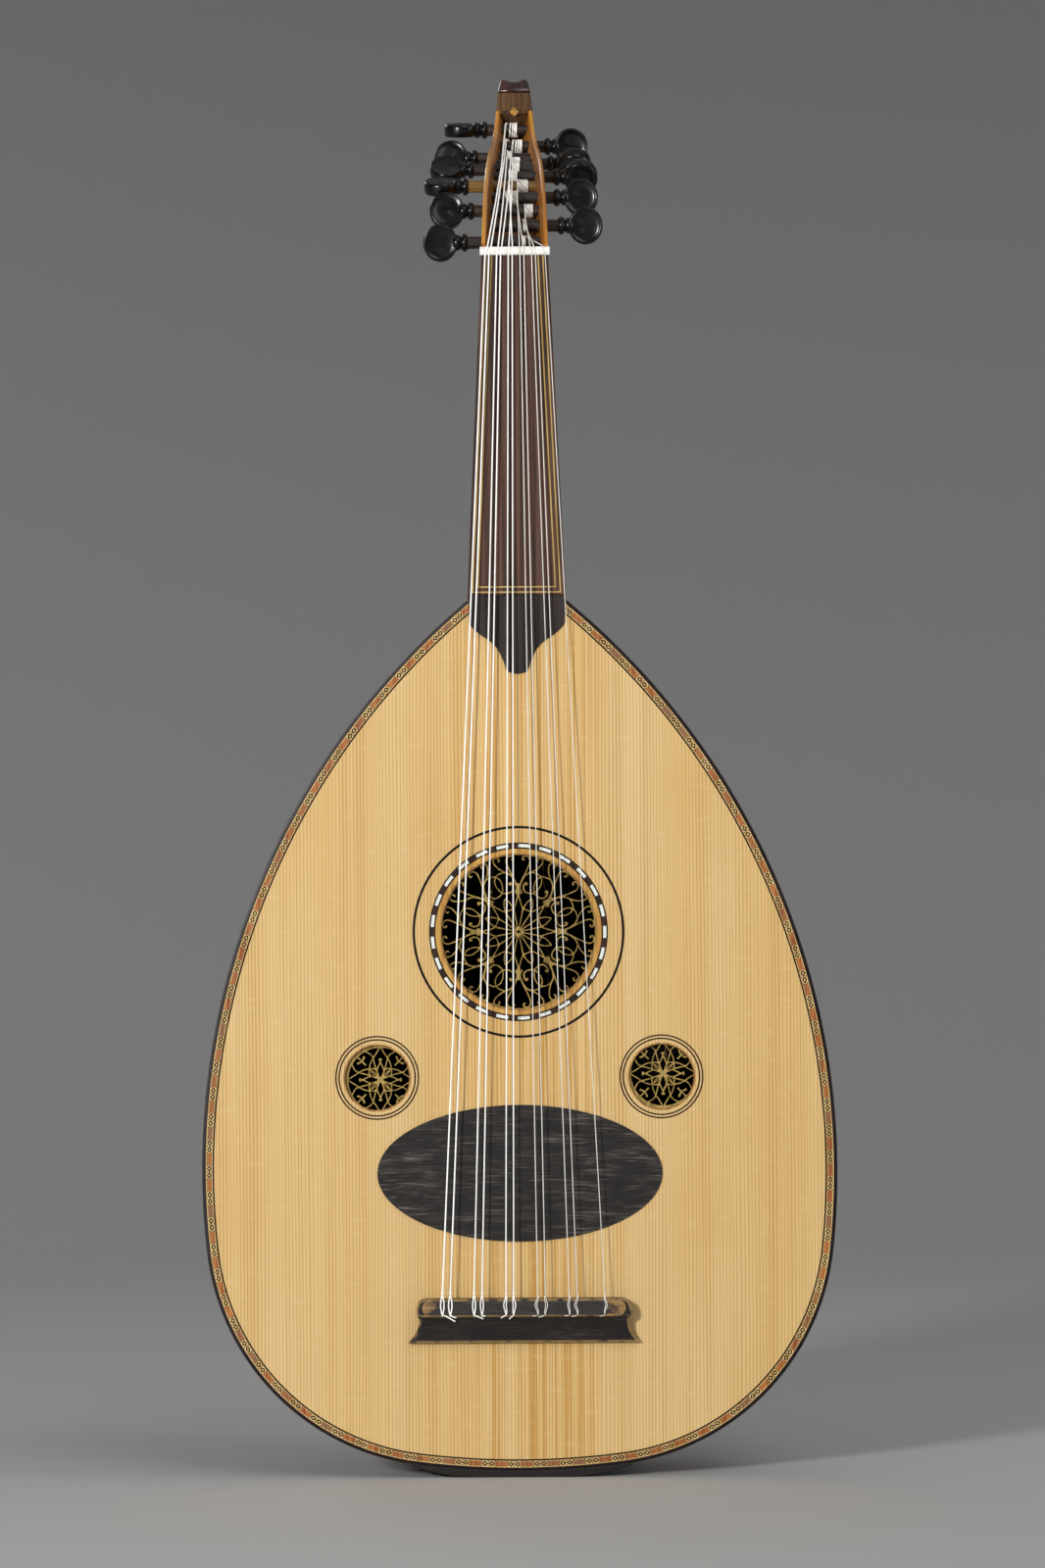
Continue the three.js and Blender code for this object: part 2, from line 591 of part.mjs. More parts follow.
function cheek(side) {
  const section = (along) => {
    const outer = pegboxHalfWidth(along);
    const corners = [
      [outer - CHEEK_EDGE, 0],
      [outer, 0],
      [outer, pegboxDepth(along)],
      [outer - CHEEK_BASE, pegboxDepth(along)],
    ];
    return side > 0 ? corners : corners.map(([x, depth]) => [-x, depth]).reverse();
  };
  const holes = pegPlaces.map(({ along, centre, side: headSide }) => {
    const shaft = headSide === side ? PEG_SHAFT_RADIUS : PEG_TIP_RADIUS;
    const radius = (shaft + PEG_HOLE_CLEARANCE) / cos(PI / PEG_SIDES);
    const hole = new THREE.CylinderGeometry(radius, radius, 3 * CHEEK_BASE, PEG_SIDES).rotateZ(PI / 2);
    return hole.translate(side * (pegboxHalfWidth(along) - CHEEK_EDGE / 2), centre.y, centre.z);
  });
  return cut(pegboxMember(0, CAP_START - FIT_GAP, 16, section), holes);
}

function backPlate() {
  return pegboxMember(0, CAP_START - FIT_GAP, 16, (along) => {
    const half = pegboxHalfWidth(along);
    const front = pegboxDepth(along) + FIT_GAP;
    return [
      [-half, front],
      [half, front],
      [half, front + BACK_PLATE],
      [-half, front + BACK_PLATE],
    ];
  });
}

function endBlock() {
  return pegboxMember(END_BLOCK_START, CAP_START - FIT_GAP, 3, (along) => {
    const front = pegboxHalfWidth(along) - CHEEK_EDGE - FIT_GAP;
    const back = pegboxHalfWidth(along) - CHEEK_BASE - FIT_GAP;
    return [
      [-front, 0],
      [front, 0],
      [back, pegboxDepth(along)],
      [-back, pegboxDepth(along)],
    ];
  });
}

function pegboxCap() {
  return pegboxMember(CAP_START, PEGBOX_LENGTH, 2, (along) => {
    const half = pegboxHalfWidth(along);
    const back = pegboxDepth(along) + FIT_GAP + BACK_PLATE;
    return [
      [-half, -CAP_LIP],
      [half, -CAP_LIP],
      [half, back],
      [-half, back],
    ];
  });
}

// ---- Pegs ----

// Turned about the X axis with the head towards +X, then faced and turned to its place.
function peg({ along, side, centre }, turnDeg, push) {
  const cheekX = pegboxHalfWidth(along);
  const tipX = PEG_TIP_INSET - cheekX;
  const collarX = cheekX + PEG_COLLAR_START - push;
  const headX = cheekX + PEG_HEAD_CENTRE - push;
  const outline = [
    [0, tipX],
    [PEG_TIP_RADIUS, tipX],
    [PEG_TIP_RADIUS, PEG_TAPER_REACH - cheekX + CHEEK_BASE],
    [PEG_SHAFT_RADIUS, cheekX - CHEEK_BASE - PEG_TAPER_REACH],
    [PEG_SHAFT_RADIUS, collarX],
    [PEG_COLLAR_RADIUS, collarX + PEG_COLLAR_BEVEL],
    [PEG_COLLAR_RADIUS, collarX + PEG_COLLAR_LENGTH - PEG_COLLAR_BEVEL],
    [PEG_SHAFT_RADIUS, collarX + PEG_COLLAR_LENGTH],
    [PEG_SHAFT_RADIUS, headX - PEG_HEAD_RADIUS + PEG_NECK_OVERLAP],
    [0, headX - PEG_HEAD_RADIUS + PEG_NECK_OVERLAP],
  ].map(([radius, x]) => new THREE.Vector2(radius, x));
  const shaft = new THREE.LatheGeometry(outline, PEG_SIDES).rotateZ(-PI / 2);
  const rim = PEG_HEAD_HALF_THICKNESS;
  const headOutline = [
    [0, -0.6 * rim],
    [0.6 * PEG_HEAD_RADIUS, -0.8 * rim],
    [0.85 * PEG_HEAD_RADIUS, -rim],
    [PEG_HEAD_RADIUS, -0.6 * rim],
    [PEG_HEAD_RADIUS, 0.6 * rim],
    [0.85 * PEG_HEAD_RADIUS, rim],
    [0.6 * PEG_HEAD_RADIUS, 0.8 * rim],
    [0, 0.6 * rim],
  ].map(([radius, y]) => new THREE.Vector2(radius, y));
  const head = new THREE.LatheGeometry(headOutline, PEG_HEAD_SIDES).translate(headX, 0, 0);
  const whole = joined([shaft, head]).rotateX(turnDeg * DEG);
  if (side < 0) whole.rotateZ(PI);
  return whole.translate(centre.x, centre.y, centre.z);
}

// ---- Strings ----

const stringPlaces = STRING_DIAMETERS.flatMap((diameter, course) => {
  const paired = course < PAIRED_COURSES;
  const atBridge = FIRST_COURSE_AT_BRIDGE + COURSE_SPACING_AT_BRIDGE * course;
  const atNut = FIRST_COURSE_AT_NUT + COURSE_SPACING_AT_NUT * course;
  return (paired ? [-0.5, 0.5] : [0]).map((half) => ({
    radius: diameter / 2,
    bridgeX: atBridge + PAIR_GAP_AT_BRIDGE * half,
    nutX: atNut + PAIR_GAP_AT_NUT * half,
    coilX: WINDING_CONVERGENCE * atNut + PAIR_GAP_AT_PEGS * half,
  }));
});

// Points of the pegs' front sides that a string must clear, from the nut to the peg it winds on.
function tautRun(start, pegIndex, standOff) {
  const run = [start];
  for (let i = 0; i <= pegIndex; i++) {
    const { along, depth } = pegPlaces[i];
    const clearance = i < pegIndex ? standOff + PASSING_CLEARANCE : standOff;
    const next = pegboxPoint(0, along, depth - clearance);
    const cross = (a, b, c) => (b.y - a.y) * (c.z - a.z) - (b.z - a.z) * (c.y - a.y);
    while (run.length > 1 && cross(run.at(-2), run.at(-1), next) > 0) run.pop();
    run.push(next);
  }
  return run;
}

// From the bridge over the nut, into the pegbox and round its peg. The bass strings reach the farthest pegs.
function string({ radius, bridgeX, nutX, coilX }, number) {
  const pegIndex = PEG_COUNT - 1 - number;
  const { centre, along } = pegPlaces[pegIndex];
  const standOff = PEG_SHAFT_RADIUS + WINDING_CLEARANCE + radius;
  const nutEndX = NUT_CONVERGENCE * nutX;
  const nutY = FACE_Y - NUT_RISE - radius - NUT_SLOT_GAP;
  const nutEnd = vec(nutEndX, nutY, NUT_Z + NUT_LENGTH);
  const run = tautRun(nutEnd, pegIndex, standOff);
  const last = run.at(-1);
  run.forEach((point) => {
    const left = (last.y - point.y) / (last.y - nutY);
    point.x = coilX + (nutEndX - coilX) * left ** 2;
  });
  const startAngle = PI - tiltAt(along);
  const pitch = 2 * radius * WINDING_PITCH;
  const coil = Array.from({ length: Math.round((WINDING_TURNS * 2 * PI) / WINDING_STEP) }, (_, i) => {
    const turn = WINDING_STEP * (i + 1);
    const angle = startAngle - turn;
    const x = coilX + (pitch * turn) / (2 * PI);
    return vec(x, centre.y + standOff * cos(angle), centre.z + standOff * sin(angle));
  });
  const start = vec(bridgeX, FACE_Y - STRING_HEIGHT_AT_BRIDGE, BRIDGE_TOP_Z + FIT_GAP);
  return roundBar([start, vec(nutX, nutY, NUT_Z), ...run, ...coil], radius, STRING_SIDES);
}

// ---- Assembly ----

for (let number = 0; number < RIB_COUNT; number++) {
  const label = String(number + 1).padStart(2, "0");
  add(`rib_${label}`, rib(number), number % 2 === 0 ? MATERIALS.darkRib : MATERIALS.lightRib);
}
add("end_clasp", endClasp(), MATERIALS.clasp);
const neckBlock = bowlBlock(NECK_JOINT_Z - NECK_BLOCK_LENGTH, NECK_JOINT_Z, BODY_HALF_WIDTH);
add("neck_block", neckBlock, MATERIALS.rawSpruce);
add("tail_block", bowlBlock(0, TAIL_BLOCK_TOP_Z, TAIL_BLOCK_REACH), MATERIALS.rawSpruce);

add("soundboard", soundboard(), MATERIALS.spruce);
add("edge_binding", edgeBinding(), MATERIALS.binding);
BRACE_PLACES_Z.forEach((z, i) => add(`brace_${i + 1}`, brace(z), MATERIALS.rawSpruce));
add("rose", rose(ROSE_HOLE_RADIUS, 8, 0, ROSE_Z), MATERIALS.rose);
add("side_rose_bass", rose(SIDE_ROSE_HOLE_RADIUS, 4, -SIDE_ROSE_X, SIDE_ROSE_Z), MATERIALS.rose);
add("side_rose_treble", rose(SIDE_ROSE_HOLE_RADIUS, 4, SIDE_ROSE_X, SIDE_ROSE_Z), MATERIALS.rose);
add("pick_guard", pickGuard(), MATERIALS.pickGuard);
add("bridge", bridge(), MATERIALS.bridge);

add("neck", neck(), MATERIALS.neck);
add("fingerboard", fingerboard(), MATERIALS.fingerboard);
add("fingerboard_tongue", fingerboardTongue(), MATERIALS.tongue);
add("nut", nut(), MATERIALS.nut);

add("pegbox_cheek_bass", cheek(-1), MATERIALS.cheek);
add("pegbox_cheek_treble", cheek(1), MATERIALS.cheek);
add("pegbox_back", backPlate(), MATERIALS.backPlate);
add("pegbox_end_block", endBlock(), MATERIALS.endBlock);
add("pegbox_cap", pegboxCap(), MATERIALS.cap);

pegPlaces.forEach((place, i) => {
  add(`peg_${String(i + 1).padStart(2, "0")}`, peg(place, PEG_TURNS_DEG[i], PEG_PUSHES[i]), MATERIALS.peg);
});
stringPlaces.forEach((place, i) => {
  add(`string_${String(i + 1).padStart(2, "0")}`, string(place, i), MATERIALS.string);
});

export default group;
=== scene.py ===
"""Looks of the oud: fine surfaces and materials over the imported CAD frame.

Lengths are millimetres in the frame's axes until a mesh is made from them in metres. +Z runs up the neck, the
soundboard faces -Y, and +X is the treble side.
"""

import json
import math
import random

import bmesh
import bpy
from mathutils import Matrix, Vector


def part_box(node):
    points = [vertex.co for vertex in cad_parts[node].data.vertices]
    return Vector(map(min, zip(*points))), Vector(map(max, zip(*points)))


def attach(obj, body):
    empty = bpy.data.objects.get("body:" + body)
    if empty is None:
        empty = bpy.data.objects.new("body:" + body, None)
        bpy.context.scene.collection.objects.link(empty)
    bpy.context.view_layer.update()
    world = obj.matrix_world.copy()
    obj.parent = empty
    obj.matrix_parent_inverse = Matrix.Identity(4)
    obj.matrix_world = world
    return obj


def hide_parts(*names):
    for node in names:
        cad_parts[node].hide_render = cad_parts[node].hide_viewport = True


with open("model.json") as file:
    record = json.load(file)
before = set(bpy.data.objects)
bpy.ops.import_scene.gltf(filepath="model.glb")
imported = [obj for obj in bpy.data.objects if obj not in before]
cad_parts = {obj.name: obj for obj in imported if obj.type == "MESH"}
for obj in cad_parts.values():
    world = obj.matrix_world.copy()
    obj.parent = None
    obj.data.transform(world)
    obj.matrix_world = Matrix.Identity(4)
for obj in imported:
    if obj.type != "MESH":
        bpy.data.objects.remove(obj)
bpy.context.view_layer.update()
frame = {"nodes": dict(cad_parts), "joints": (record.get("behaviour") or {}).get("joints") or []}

MM = 0.001
DEG = math.pi / 180
FULL_TURN = 2 * math.pi
ROOT = "instrument"
rng = random.Random(11)


def cad_range(node):
    """Lowest and highest corner of a CAD node in millimetres."""
    low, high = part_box(node)
    return low / MM, high / MM


# ---- Dimensions shared with the CAD ----

FACE_Y = cad_range("soundboard")[0].y
BOARD_THICKNESS = 1.8
BOWL_FRONT_Y = FACE_Y + 2.1
BODY_HALF_WIDTH = 177.6
WIDEST_Z = 171.7
FLANK_RADIUS = 414.7
HIP_RADIUS = 135.2
TAIL_RADIUS = 453.5
BODY_TAIL_Z = 3.5
NECK_JOINT_Z = 490.8
RIB_COUNT = 15
RIB_THICKNESS = 2.4
RIB_START_X = 15

ROSE_Z = 305.2
SIDE_ROSE_X = 79.5
SIDE_ROSE_Z = 223.9

VENEER = 0.8
NUT_Z = 683.7
NUT_LENGTH = 5.2
FINGERBOARD_START_Z = 493.7
FINGERBOARD_THICKNESS = 3
NECK_FRONT_Y = FACE_Y - VENEER + FINGERBOARD_THICKNESS
NECK_ROOT_HALF_WIDTH = 27.7
NECK_TOP_HALF_WIDTH = 18.65
NECK_TOP_DEPTH = 20.6

ROOT_TILT = 41 * DEG
MIDDLE_TILT = 76 * DEG
TIP_TILT = 25 * DEG
BACKWARD_ARC = 128
FORWARD_ARC = 70
PEGBOX_LENGTH = BACKWARD_ARC + FORWARD_ARC
MITRE_TOP_Z = NUT_Z + NUT_LENGTH + (NECK_FRONT_Y - FACE_Y) * math.tan(ROOT_TILT)
BACK_PLATE = 3.5
END_BLOCK_START = 176
CAP_START = 191
PEG_COUNT = 11
FIRST_PEG = 12.8
PEG_SPACING = 15.8
PEG_DEPTH_SHARE = 0.47  # of the pegbox's depth
SHAFT_RADIUS = 3.45

# ---- Dimensions of the visual model only ----

ROSE_HOLE = 44
SIDE_ROSE_HOLE = 18.5
BRIDGE_SHIFT = 1.9
CHEEK_FRONT = 2.0  # thickness of a pegbox cheek along its front edge
CHEEK_BACK = 6.8  # and where it meets the back plate
CHEEK_AT_PEG = 4.4
STRING_SCALE = 0.8  # of the CAD's radius
TIE_SCALE = 0.7

# Insets from the body's outline where each band of the border ends.
BORDER_DARK = 2.0
BORDER_CREAM = 2.5
BORDER_TILES = 5.3
BORDER_INNER_CREAM = 5.7
BORDER_BLACK = 6.6

# How each thumb disc is turned from facing forward, and how far each peg is pushed in, from the nut up.
PEG_TURNS_DEG = [-5, 5, 12, 0, 72, 35, 50, 55, 20, 5, 80]
PEG_PUSHES = [0, 1.5, 2.7, 2.8, -1.8, 1.3, -0.4, 3, 0, 2.5, 3.3]
PALE_PEG = 4

# Two strings to a course, the last course single: where the first course lies, how far the next is from it,
# and how far the strings of a pair are apart.
AT_BRIDGE = (-41.4, 17.7, 4.4)
AT_NUT = (-15.5, 6.5, 2.2)
COURSE_DIAMETERS = [1.1, 1.0, 0.9, 0.75, 0.7, 0.65]
WOUND_STRINGS = 6
# Bass string first: where the winding starts and ends across the pegbox, the share of it left open, how far
# the loop at the bridge spreads and leans, and where the tail below it ends (aside, up).
SHAPE_NAMES = ("coil_start", "coil_end", "gap", "spread", "lean", "tail", "drop")
STRING_SHAPES = [
    (-5.0, 1.8, 0.4, 0.95, 0, 7, -3),
    (-4.8, 4.3, 0.5, 0.95, 0, 3.2, -0.9),
    (-4.0, -1.0, 0, 0.8, 0, 5, -1.6),
    (-2.0, 3.0, 0, 0.8, 0, 2.4, 0.4),
    (-1.0, 3.0, 0, 0.7, 0.5, -2.8, -1.2),
    (-3.0, 1.6, 0, 0.7, -0.4, -2.5, -1.8),
    (1.6, 7.7, 0, 0.5, 0.9, -4.2, 0.3),
    (1.2, -5.0, 0, 0.55, -0.6, -3.8, -0.9),
    (5.7, 10.4, 0, 0.45, 0.5, -4, 0.4),
    (4.6, 6.6, 0, 0.5, 1.0, -3, -0.6),
    (6.4, 4.0, 0, 0.4, -0.8, -3, -0.5),
]


# ---- Curves, as lists of (x, z) ----


def around(steps):
    """The angles of a full turn in equal steps."""
    return [FULL_TURN * k / steps for k in range(steps)]


def arc(centre, radius, start, end, steps):
    angles = [start + (end - start) * i / steps for i in range(steps + 1)]
    return [(centre[0] + radius * math.cos(a), centre[1] + radius * math.sin(a)) for a in angles]


def bezier(start, pull_a, pull_b, end, steps):
    """Points of a cubic curve, its start left out."""
    points = []
    for i in range(1, steps + 1):
        t = i / steps
        weights = ((1 - t) ** 3, 3 * t * (1 - t) ** 2, 3 * t * t * (1 - t), t**3)
        knots = (start, pull_a, pull_b, end)
        points.append(tuple(sum(w * p[k] for w, p in zip(weights, knots)) for k in (0, 1)))
    return points


def smooth_path(points, steps):
    """Catmull-Rom curve through points of any dimension."""

    def between(a, b, c, d, t):
        square, cube = 2 * a - 5 * b + 4 * c - d, 3 * b - a - 3 * c + d
        return 0.5 * (2 * b + (c - a) * t + square * t * t + cube * t**3)

    padded = [points[0]] + list(points) + [points[-1]]
    path = []
    for i in range(1, len(padded) - 2):
        for k in range(steps):
            path.append(tuple(between(*values, k / steps) for values in zip(*padded[i - 1 : i + 3])))
    return path + [tuple(points[-1])]


def mirrored(right):
    """The same points on the other side, in the opposite order."""
    return [(-x, z) for x, z in right][::-1]


def steps_between(start, end, step):
    count = max(1, math.ceil((end - start) / step))
    return [start + (end - start) * i / count for i in range(count + 1)]


# ---- Pieces ----

# Looks by name, filled in by the material section.
LOOKS = {}


def link(name, data):
    thing = bpy.data.objects.new(name, data)
    bpy.context.scene.collection.objects.link(thing)
    return thing


def finished_mesh(thing):
    """The mesh of a curve or of an object with modifiers."""
    bpy.context.view_layer.update()
    return bpy.data.meshes.new_from_object(thing.evaluated_get(bpy.context.evaluated_depsgraph_get()))


def face_outwards(mesh, merge=0.0):
    """Turns all faces outwards; merge joins points closer than that many millimetres first."""
    bm = bmesh.new()
    bm.from_mesh(mesh)
    if merge:
        bmesh.ops.remove_doubles(bm, verts=bm.verts, dist=merge * MM)
    bmesh.ops.recalc_face_normals(bm, faces=bm.faces)
    bm.to_mesh(mesh)
    bm.free()


def smooth_faces(mesh, angle):
    """Smooth shading, with sharp edges where faces meet at more than the angle in degrees."""
    mesh.polygons.foreach_set("use_smooth", [True] * len(mesh.polygons))
    mesh.set_sharp_from_angle(angle=angle * DEG)


def round_edges(piece, width):
    modifier = piece.modifiers.new("bevel", "BEVEL")
    modifier.width = width * MM
    modifier.segments = 2
    modifier.limit_method = "ANGLE"
    modifier.angle_limit = 40 * DEG


def place_piece(name, mesh, look, node=None, body=ROOT, smooth=35, edge=0.0):
    """Puts a mesh on its body, with its look and rounded edges, in place of the CAD node if one is given."""
    mesh.materials.append(LOOKS[look])
    smooth_faces(mesh, smooth)
    piece = link(name, mesh)
    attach(piece, body)
    if node:
        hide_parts(node)
    if edge:
        round_edges(piece, edge)
    return piece


class Solids:
    """Collects closed shapes that end up in one mesh. A point can also keep its place in the wood's own
    directions, its grain, and a face its tone."""

    def __init__(self):
        self.points = []
        self.faces = []
        self.grain = []
        self.tone = []

    def loft(self, rings, grain=(), tone=0.0, closed=False):
        """Joins rings of equally many points. A closed loft joins the last to the first and has no caps."""
        first = len(self.points)
        size = len(rings[0])
        points = [point for ring in rings for point in ring]
        faces = []
        for ring in range(len(rings) if closed else len(rings) - 1):
            low = ring * size
            high = (ring + 1) % len(rings) * size
            for corner in range(size):
                beside = (corner + 1) % size
                faces.append((low + corner, low + beside, high + beside, high + corner))
        if not closed:
            faces.append(tuple(range(size)))
            faces.append(tuple(range(len(points) - size, len(points))))
        self.points += points
        self.grain += grain
        self.faces += [tuple(first + index for index in face) for face in faces]
        self.tone += [tone] * len(faces)

    def loft_placed(self, rings, place, shift=0.0, closed=False):
        """Lofts rings given in a piece's own axes, which are its grain too, shifted along the first. place()
        moves a point into the frame."""
        grain = [(x + shift, y, z) for ring in rings for x, y, z in ring]
        self.loft([[place(*point) for point in ring] for ring in rings], grain, closed=closed)

    def tube(self, path, radius, sides=8):
        """Round bar along a path."""
        path = [Vector(point) for point in path]
        across = None
        rings = []
        for i, point in enumerate(path):
            direction = (path[min(i + 1, len(path) - 1)] - path[max(i - 1, 0)]).normalized()
            if across is None:
                helper = Vector((1, 0, 0)) if abs(direction.x) < 0.9 else Vector((0, 1, 0))
                across = helper.cross(direction)
            across = (across - direction * across.dot(direction)).normalized()
            other = direction.cross(across)
            spokes = [across * math.cos(a) + other * math.sin(a) for a in around(sides)]
            rings.append([tuple(point + spoke * radius) for spoke in spokes])
        self.loft(rings)

    def mesh(self, name):
        mesh = bpy.data.meshes.new(name)
        mesh.from_pydata([(x * MM, y * MM, z * MM) for x, y, z in self.points], [], self.faces)
        if self.grain:
            stored = mesh.attributes.new("grain", "FLOAT_VECTOR", "POINT")
            stored.data.foreach_set("vector", [value * MM for point in self.grain for value in point])
        if any(self.tone):
            mesh.attributes.new("tone", "FLOAT", "FACE").data.foreach_set("value", self.tone)
        face_outwards(mesh)
        return mesh

    def piece(self, name, look, node=None, **settings):
        return place_piece(name, self.mesh(name), look, node, **settings)


def lofted(name, rings, look, node=None, **settings):
    """A single solid through rings of points."""
    solids = Solids()
    solids.loft(rings)
    solids.piece(name, look, node, **settings)


def plate(name, loops, front_y, thickness, look, node=None, edge=0.0):
    """A flat plate in the X-Z plane from an outer loop and hole loops."""
    curve = bpy.data.curves.new(name, "CURVE")
    curve.dimensions = "2D"
    curve.fill_mode = "BOTH"
    curve.extrude = thickness * MM / 2
    for loop in loops:
        spline = curve.splines.new("POLY")
        spline.points.add(len(loop) - 1)
        for point, (x, z) in zip(spline.points, loop):
            point.co = (x * MM, z * MM, 0, 1)
        spline.use_cyclic_u = True
    drawn = link(name + "_drawn", curve)
    mesh = finished_mesh(drawn)
    bpy.data.objects.remove(drawn)
    bpy.data.curves.remove(curve)
    face_outwards(mesh, merge=0.0005)
    upright = Matrix.Rotation(math.pi / 2, 4, "X")
    mesh.transform(Matrix.Translation((0, (front_y + thickness / 2) * MM, 0)) @ upright)
    return place_piece(name, mesh, look, node, smooth=30, edge=edge)


# ---- Materials ----


def colour(code):
    """Linear colour of a six-digit sRGB code."""
    channels = [int(code[i : i + 2], 16) / 255 for i in (0, 2, 4)]
    return tuple(c / 12.92 if c <= 0.04045 else ((c + 0.055) / 1.055) ** 2.4 for c in channels) + (1.0,)


class Recipe:
    """A node material. Each call adds a node and returns its main output. A colour may be an sRGB code, and
    `place` is where a point lies in metres: in the frame, or in the wood's own directions."""

    def __init__(self, name, grain=False):
        self.material = bpy.data.materials.new(name)
        self.material.use_nodes = True
        self.tree = self.material.node_tree
        self.tree.nodes.clear()
        self.name = name
        self.in_frame = self.node("TexCoord", {}, "Object")
        self.place = self.node("Attribute", {}, "Vector", attribute_name="grain") if grain else self.in_frame

    def node(self, kind, inputs, output=0, **settings):
        node = self.tree.nodes.new("ShaderNode" + kind)
        for key, value in settings.items():
            setattr(node, key, value)
        for key, value in inputs.items():
            if isinstance(value, bpy.types.NodeSocket):
                self.tree.links.new(value, node.inputs[key])
            else:
                node.inputs[key].default_value = value
        return node.outputs[output] if node.outputs else None

    def noise(self, scale, offset=(0, 0, 0), detail=3.0, roughness=0.5, distortion=0.0):
        mapped = self.node("Mapping", {"Vector": self.place, "Scale": scale, "Location": offset})
        shape = {"Detail": detail, "Roughness": roughness, "Distortion": distortion}
        return self.node("TexNoise", {"Vector": mapped, "Scale": 1.0, **shape})

    def ramp(self, value, low, high, smooth=True):
        """0 at low and beyond, 1 at high and beyond."""
        inputs = {"Value": value, "From Min": low, "From Max": high}
        return self.node("MapRange", inputs, interpolation_type="SMOOTHSTEP" if smooth else "LINEAR")

    def math(self, operation, a, b=0.0, c=0.0):
        return self.node("Math", {0: a, 1: b, 2: c}, operation=operation)

    def times(self, a, b):
        return self.math("MULTIPLY", a, b)

    def vector_math(self, operation, a, b, output=0):
        return self.node("VectorMath", {0: a, 1: b}, output, operation=operation)

    def mix(self, share, a, b, blend="MIX"):
        a, b = (colour(side) if isinstance(side, str) else side for side in (a, b))
        return self.node("Mix", {0: share, 6: a, 7: b}, 2, data_type="RGBA", blend_type=blend)

    def along_axis(self, axis):
        return self.node("SeparateXYZ", {0: self.in_frame}, axis)

    def rubbed_edges(self, base, wear, width):
        """Shows the wear colour in patches along every edge, over `width` mm."""
        rounded = self.node("Bevel", {"Radius": width * MM}, samples=4)
        flat = self.node("NewGeometry", {}, "Normal")
        likeness = self.vector_math("DOT_PRODUCT", rounded, flat, "Value")
        patchy = self.noise((160, 160, 160), detail=4)
        rubbed = self.times(self.ramp(likeness, 0.998, 0.93), self.ramp(patchy, 0.3, 0.52))
        return self.mix(rubbed, base, wear)

    def finish(self, base, roughness, height, relief, strength, **extra):
        """Ends the recipe with its surface; relief is how many millimetres the height stands out."""
        normal = self.node("Bump", {"Height": height, "Distance": relief * MM, "Strength": strength})
        inputs = {"Base Color": base, "Roughness": roughness, "Normal": normal}
        inputs.update({key.replace("_", " "): value for key, value in extra.items()})
        self.node("OutputMaterial", {"Surface": self.node("BsdfPrincipled", inputs)})
        LOOKS[self.name] = self.material


def grain_scale(along, across, length):
    """Noise scale for fibres `across` mm wide and `length` mm long, running along one axis."""
    return tuple(1000 / length if axis == along else 1000 / across for axis in range(3))


def wood(name, dark, light, along=2, grain=False, band=2.5, gloss=0.35, coat=0.0, wear=None, pores=0.5,
         tint=None, hollow=False, shine=0.4):
    """Straight-grained wood: broad bands, fine fibres, pores, slow clouds of tone, and rubbed edges. A hollow
    piece gets painted shade, near black, on the side that faces the bowl's inside."""
    recipe = Recipe(name, grain)
    bands = recipe.noise(grain_scale(along, band, band * 60), detail=4, distortion=0.3)
    fibres = recipe.noise(grain_scale(along, 0.32, 18), detail=2)
    clouds = recipe.noise(grain_scale(along, 28, 90), (3, 1, 2), detail=2)
    specks = recipe.noise(grain_scale(along, 0.22, 4.5), (1, 5, 3), detail=1)
    holes = recipe.ramp(specks, 0.66, 0.74)
    share = recipe.math("MULTIPLY_ADD", fibres, 0.5, recipe.ramp(bands, 0.34, 0.66))
    base = recipe.mix(recipe.math("SUBTRACT", share, 0.25), dark, light)
    clouded = recipe.mix(1.0, base, (0.6, 0.55, 0.5, 1), "MULTIPLY")
    base = recipe.mix(recipe.times(recipe.ramp(clouds, 0.3, 0.7), 0.35), base, clouded)
    if tint:
        base = recipe.mix(recipe.node("Attribute", {}, "Fac", attribute_name="tone"), base, tint)
    pitted = recipe.mix(1.0, base, (0.3, 0.25, 0.22, 1), "MULTIPLY")
    base = recipe.mix(recipe.times(holes, pores), base, pitted)
    if wear:
        base = recipe.rubbed_edges(base, wear, 0.5)
    # Painted shade on the bowl's inside: faces turned towards it are mixed to near black.
    if hollow:
        outward = recipe.vector_math("SUBTRACT", recipe.in_frame, (0, BOWL_FRONT_Y * MM, 0))
        outward = recipe.vector_math("MULTIPLY", outward, (1, 1, 0))
        facing = recipe.vector_math("DOT_PRODUCT", outward, recipe.node("NewGeometry", {}, "Normal"), "Value")
        base = recipe.mix(recipe.ramp(facing, 0.0, -0.002), base, "0B0705")
    height = recipe.math("SUBTRACT", fibres, recipe.times(holes, 0.8))
    roughness = recipe.math("MULTIPLY_ADD", clouds, 0.25, gloss - 0.1)
    recipe.finish(
        base, roughness, height, 0.05, 0.5, Coat_Weight=coat, Coat_Roughness=0.12, Specular_IOR_Level=shine
    )


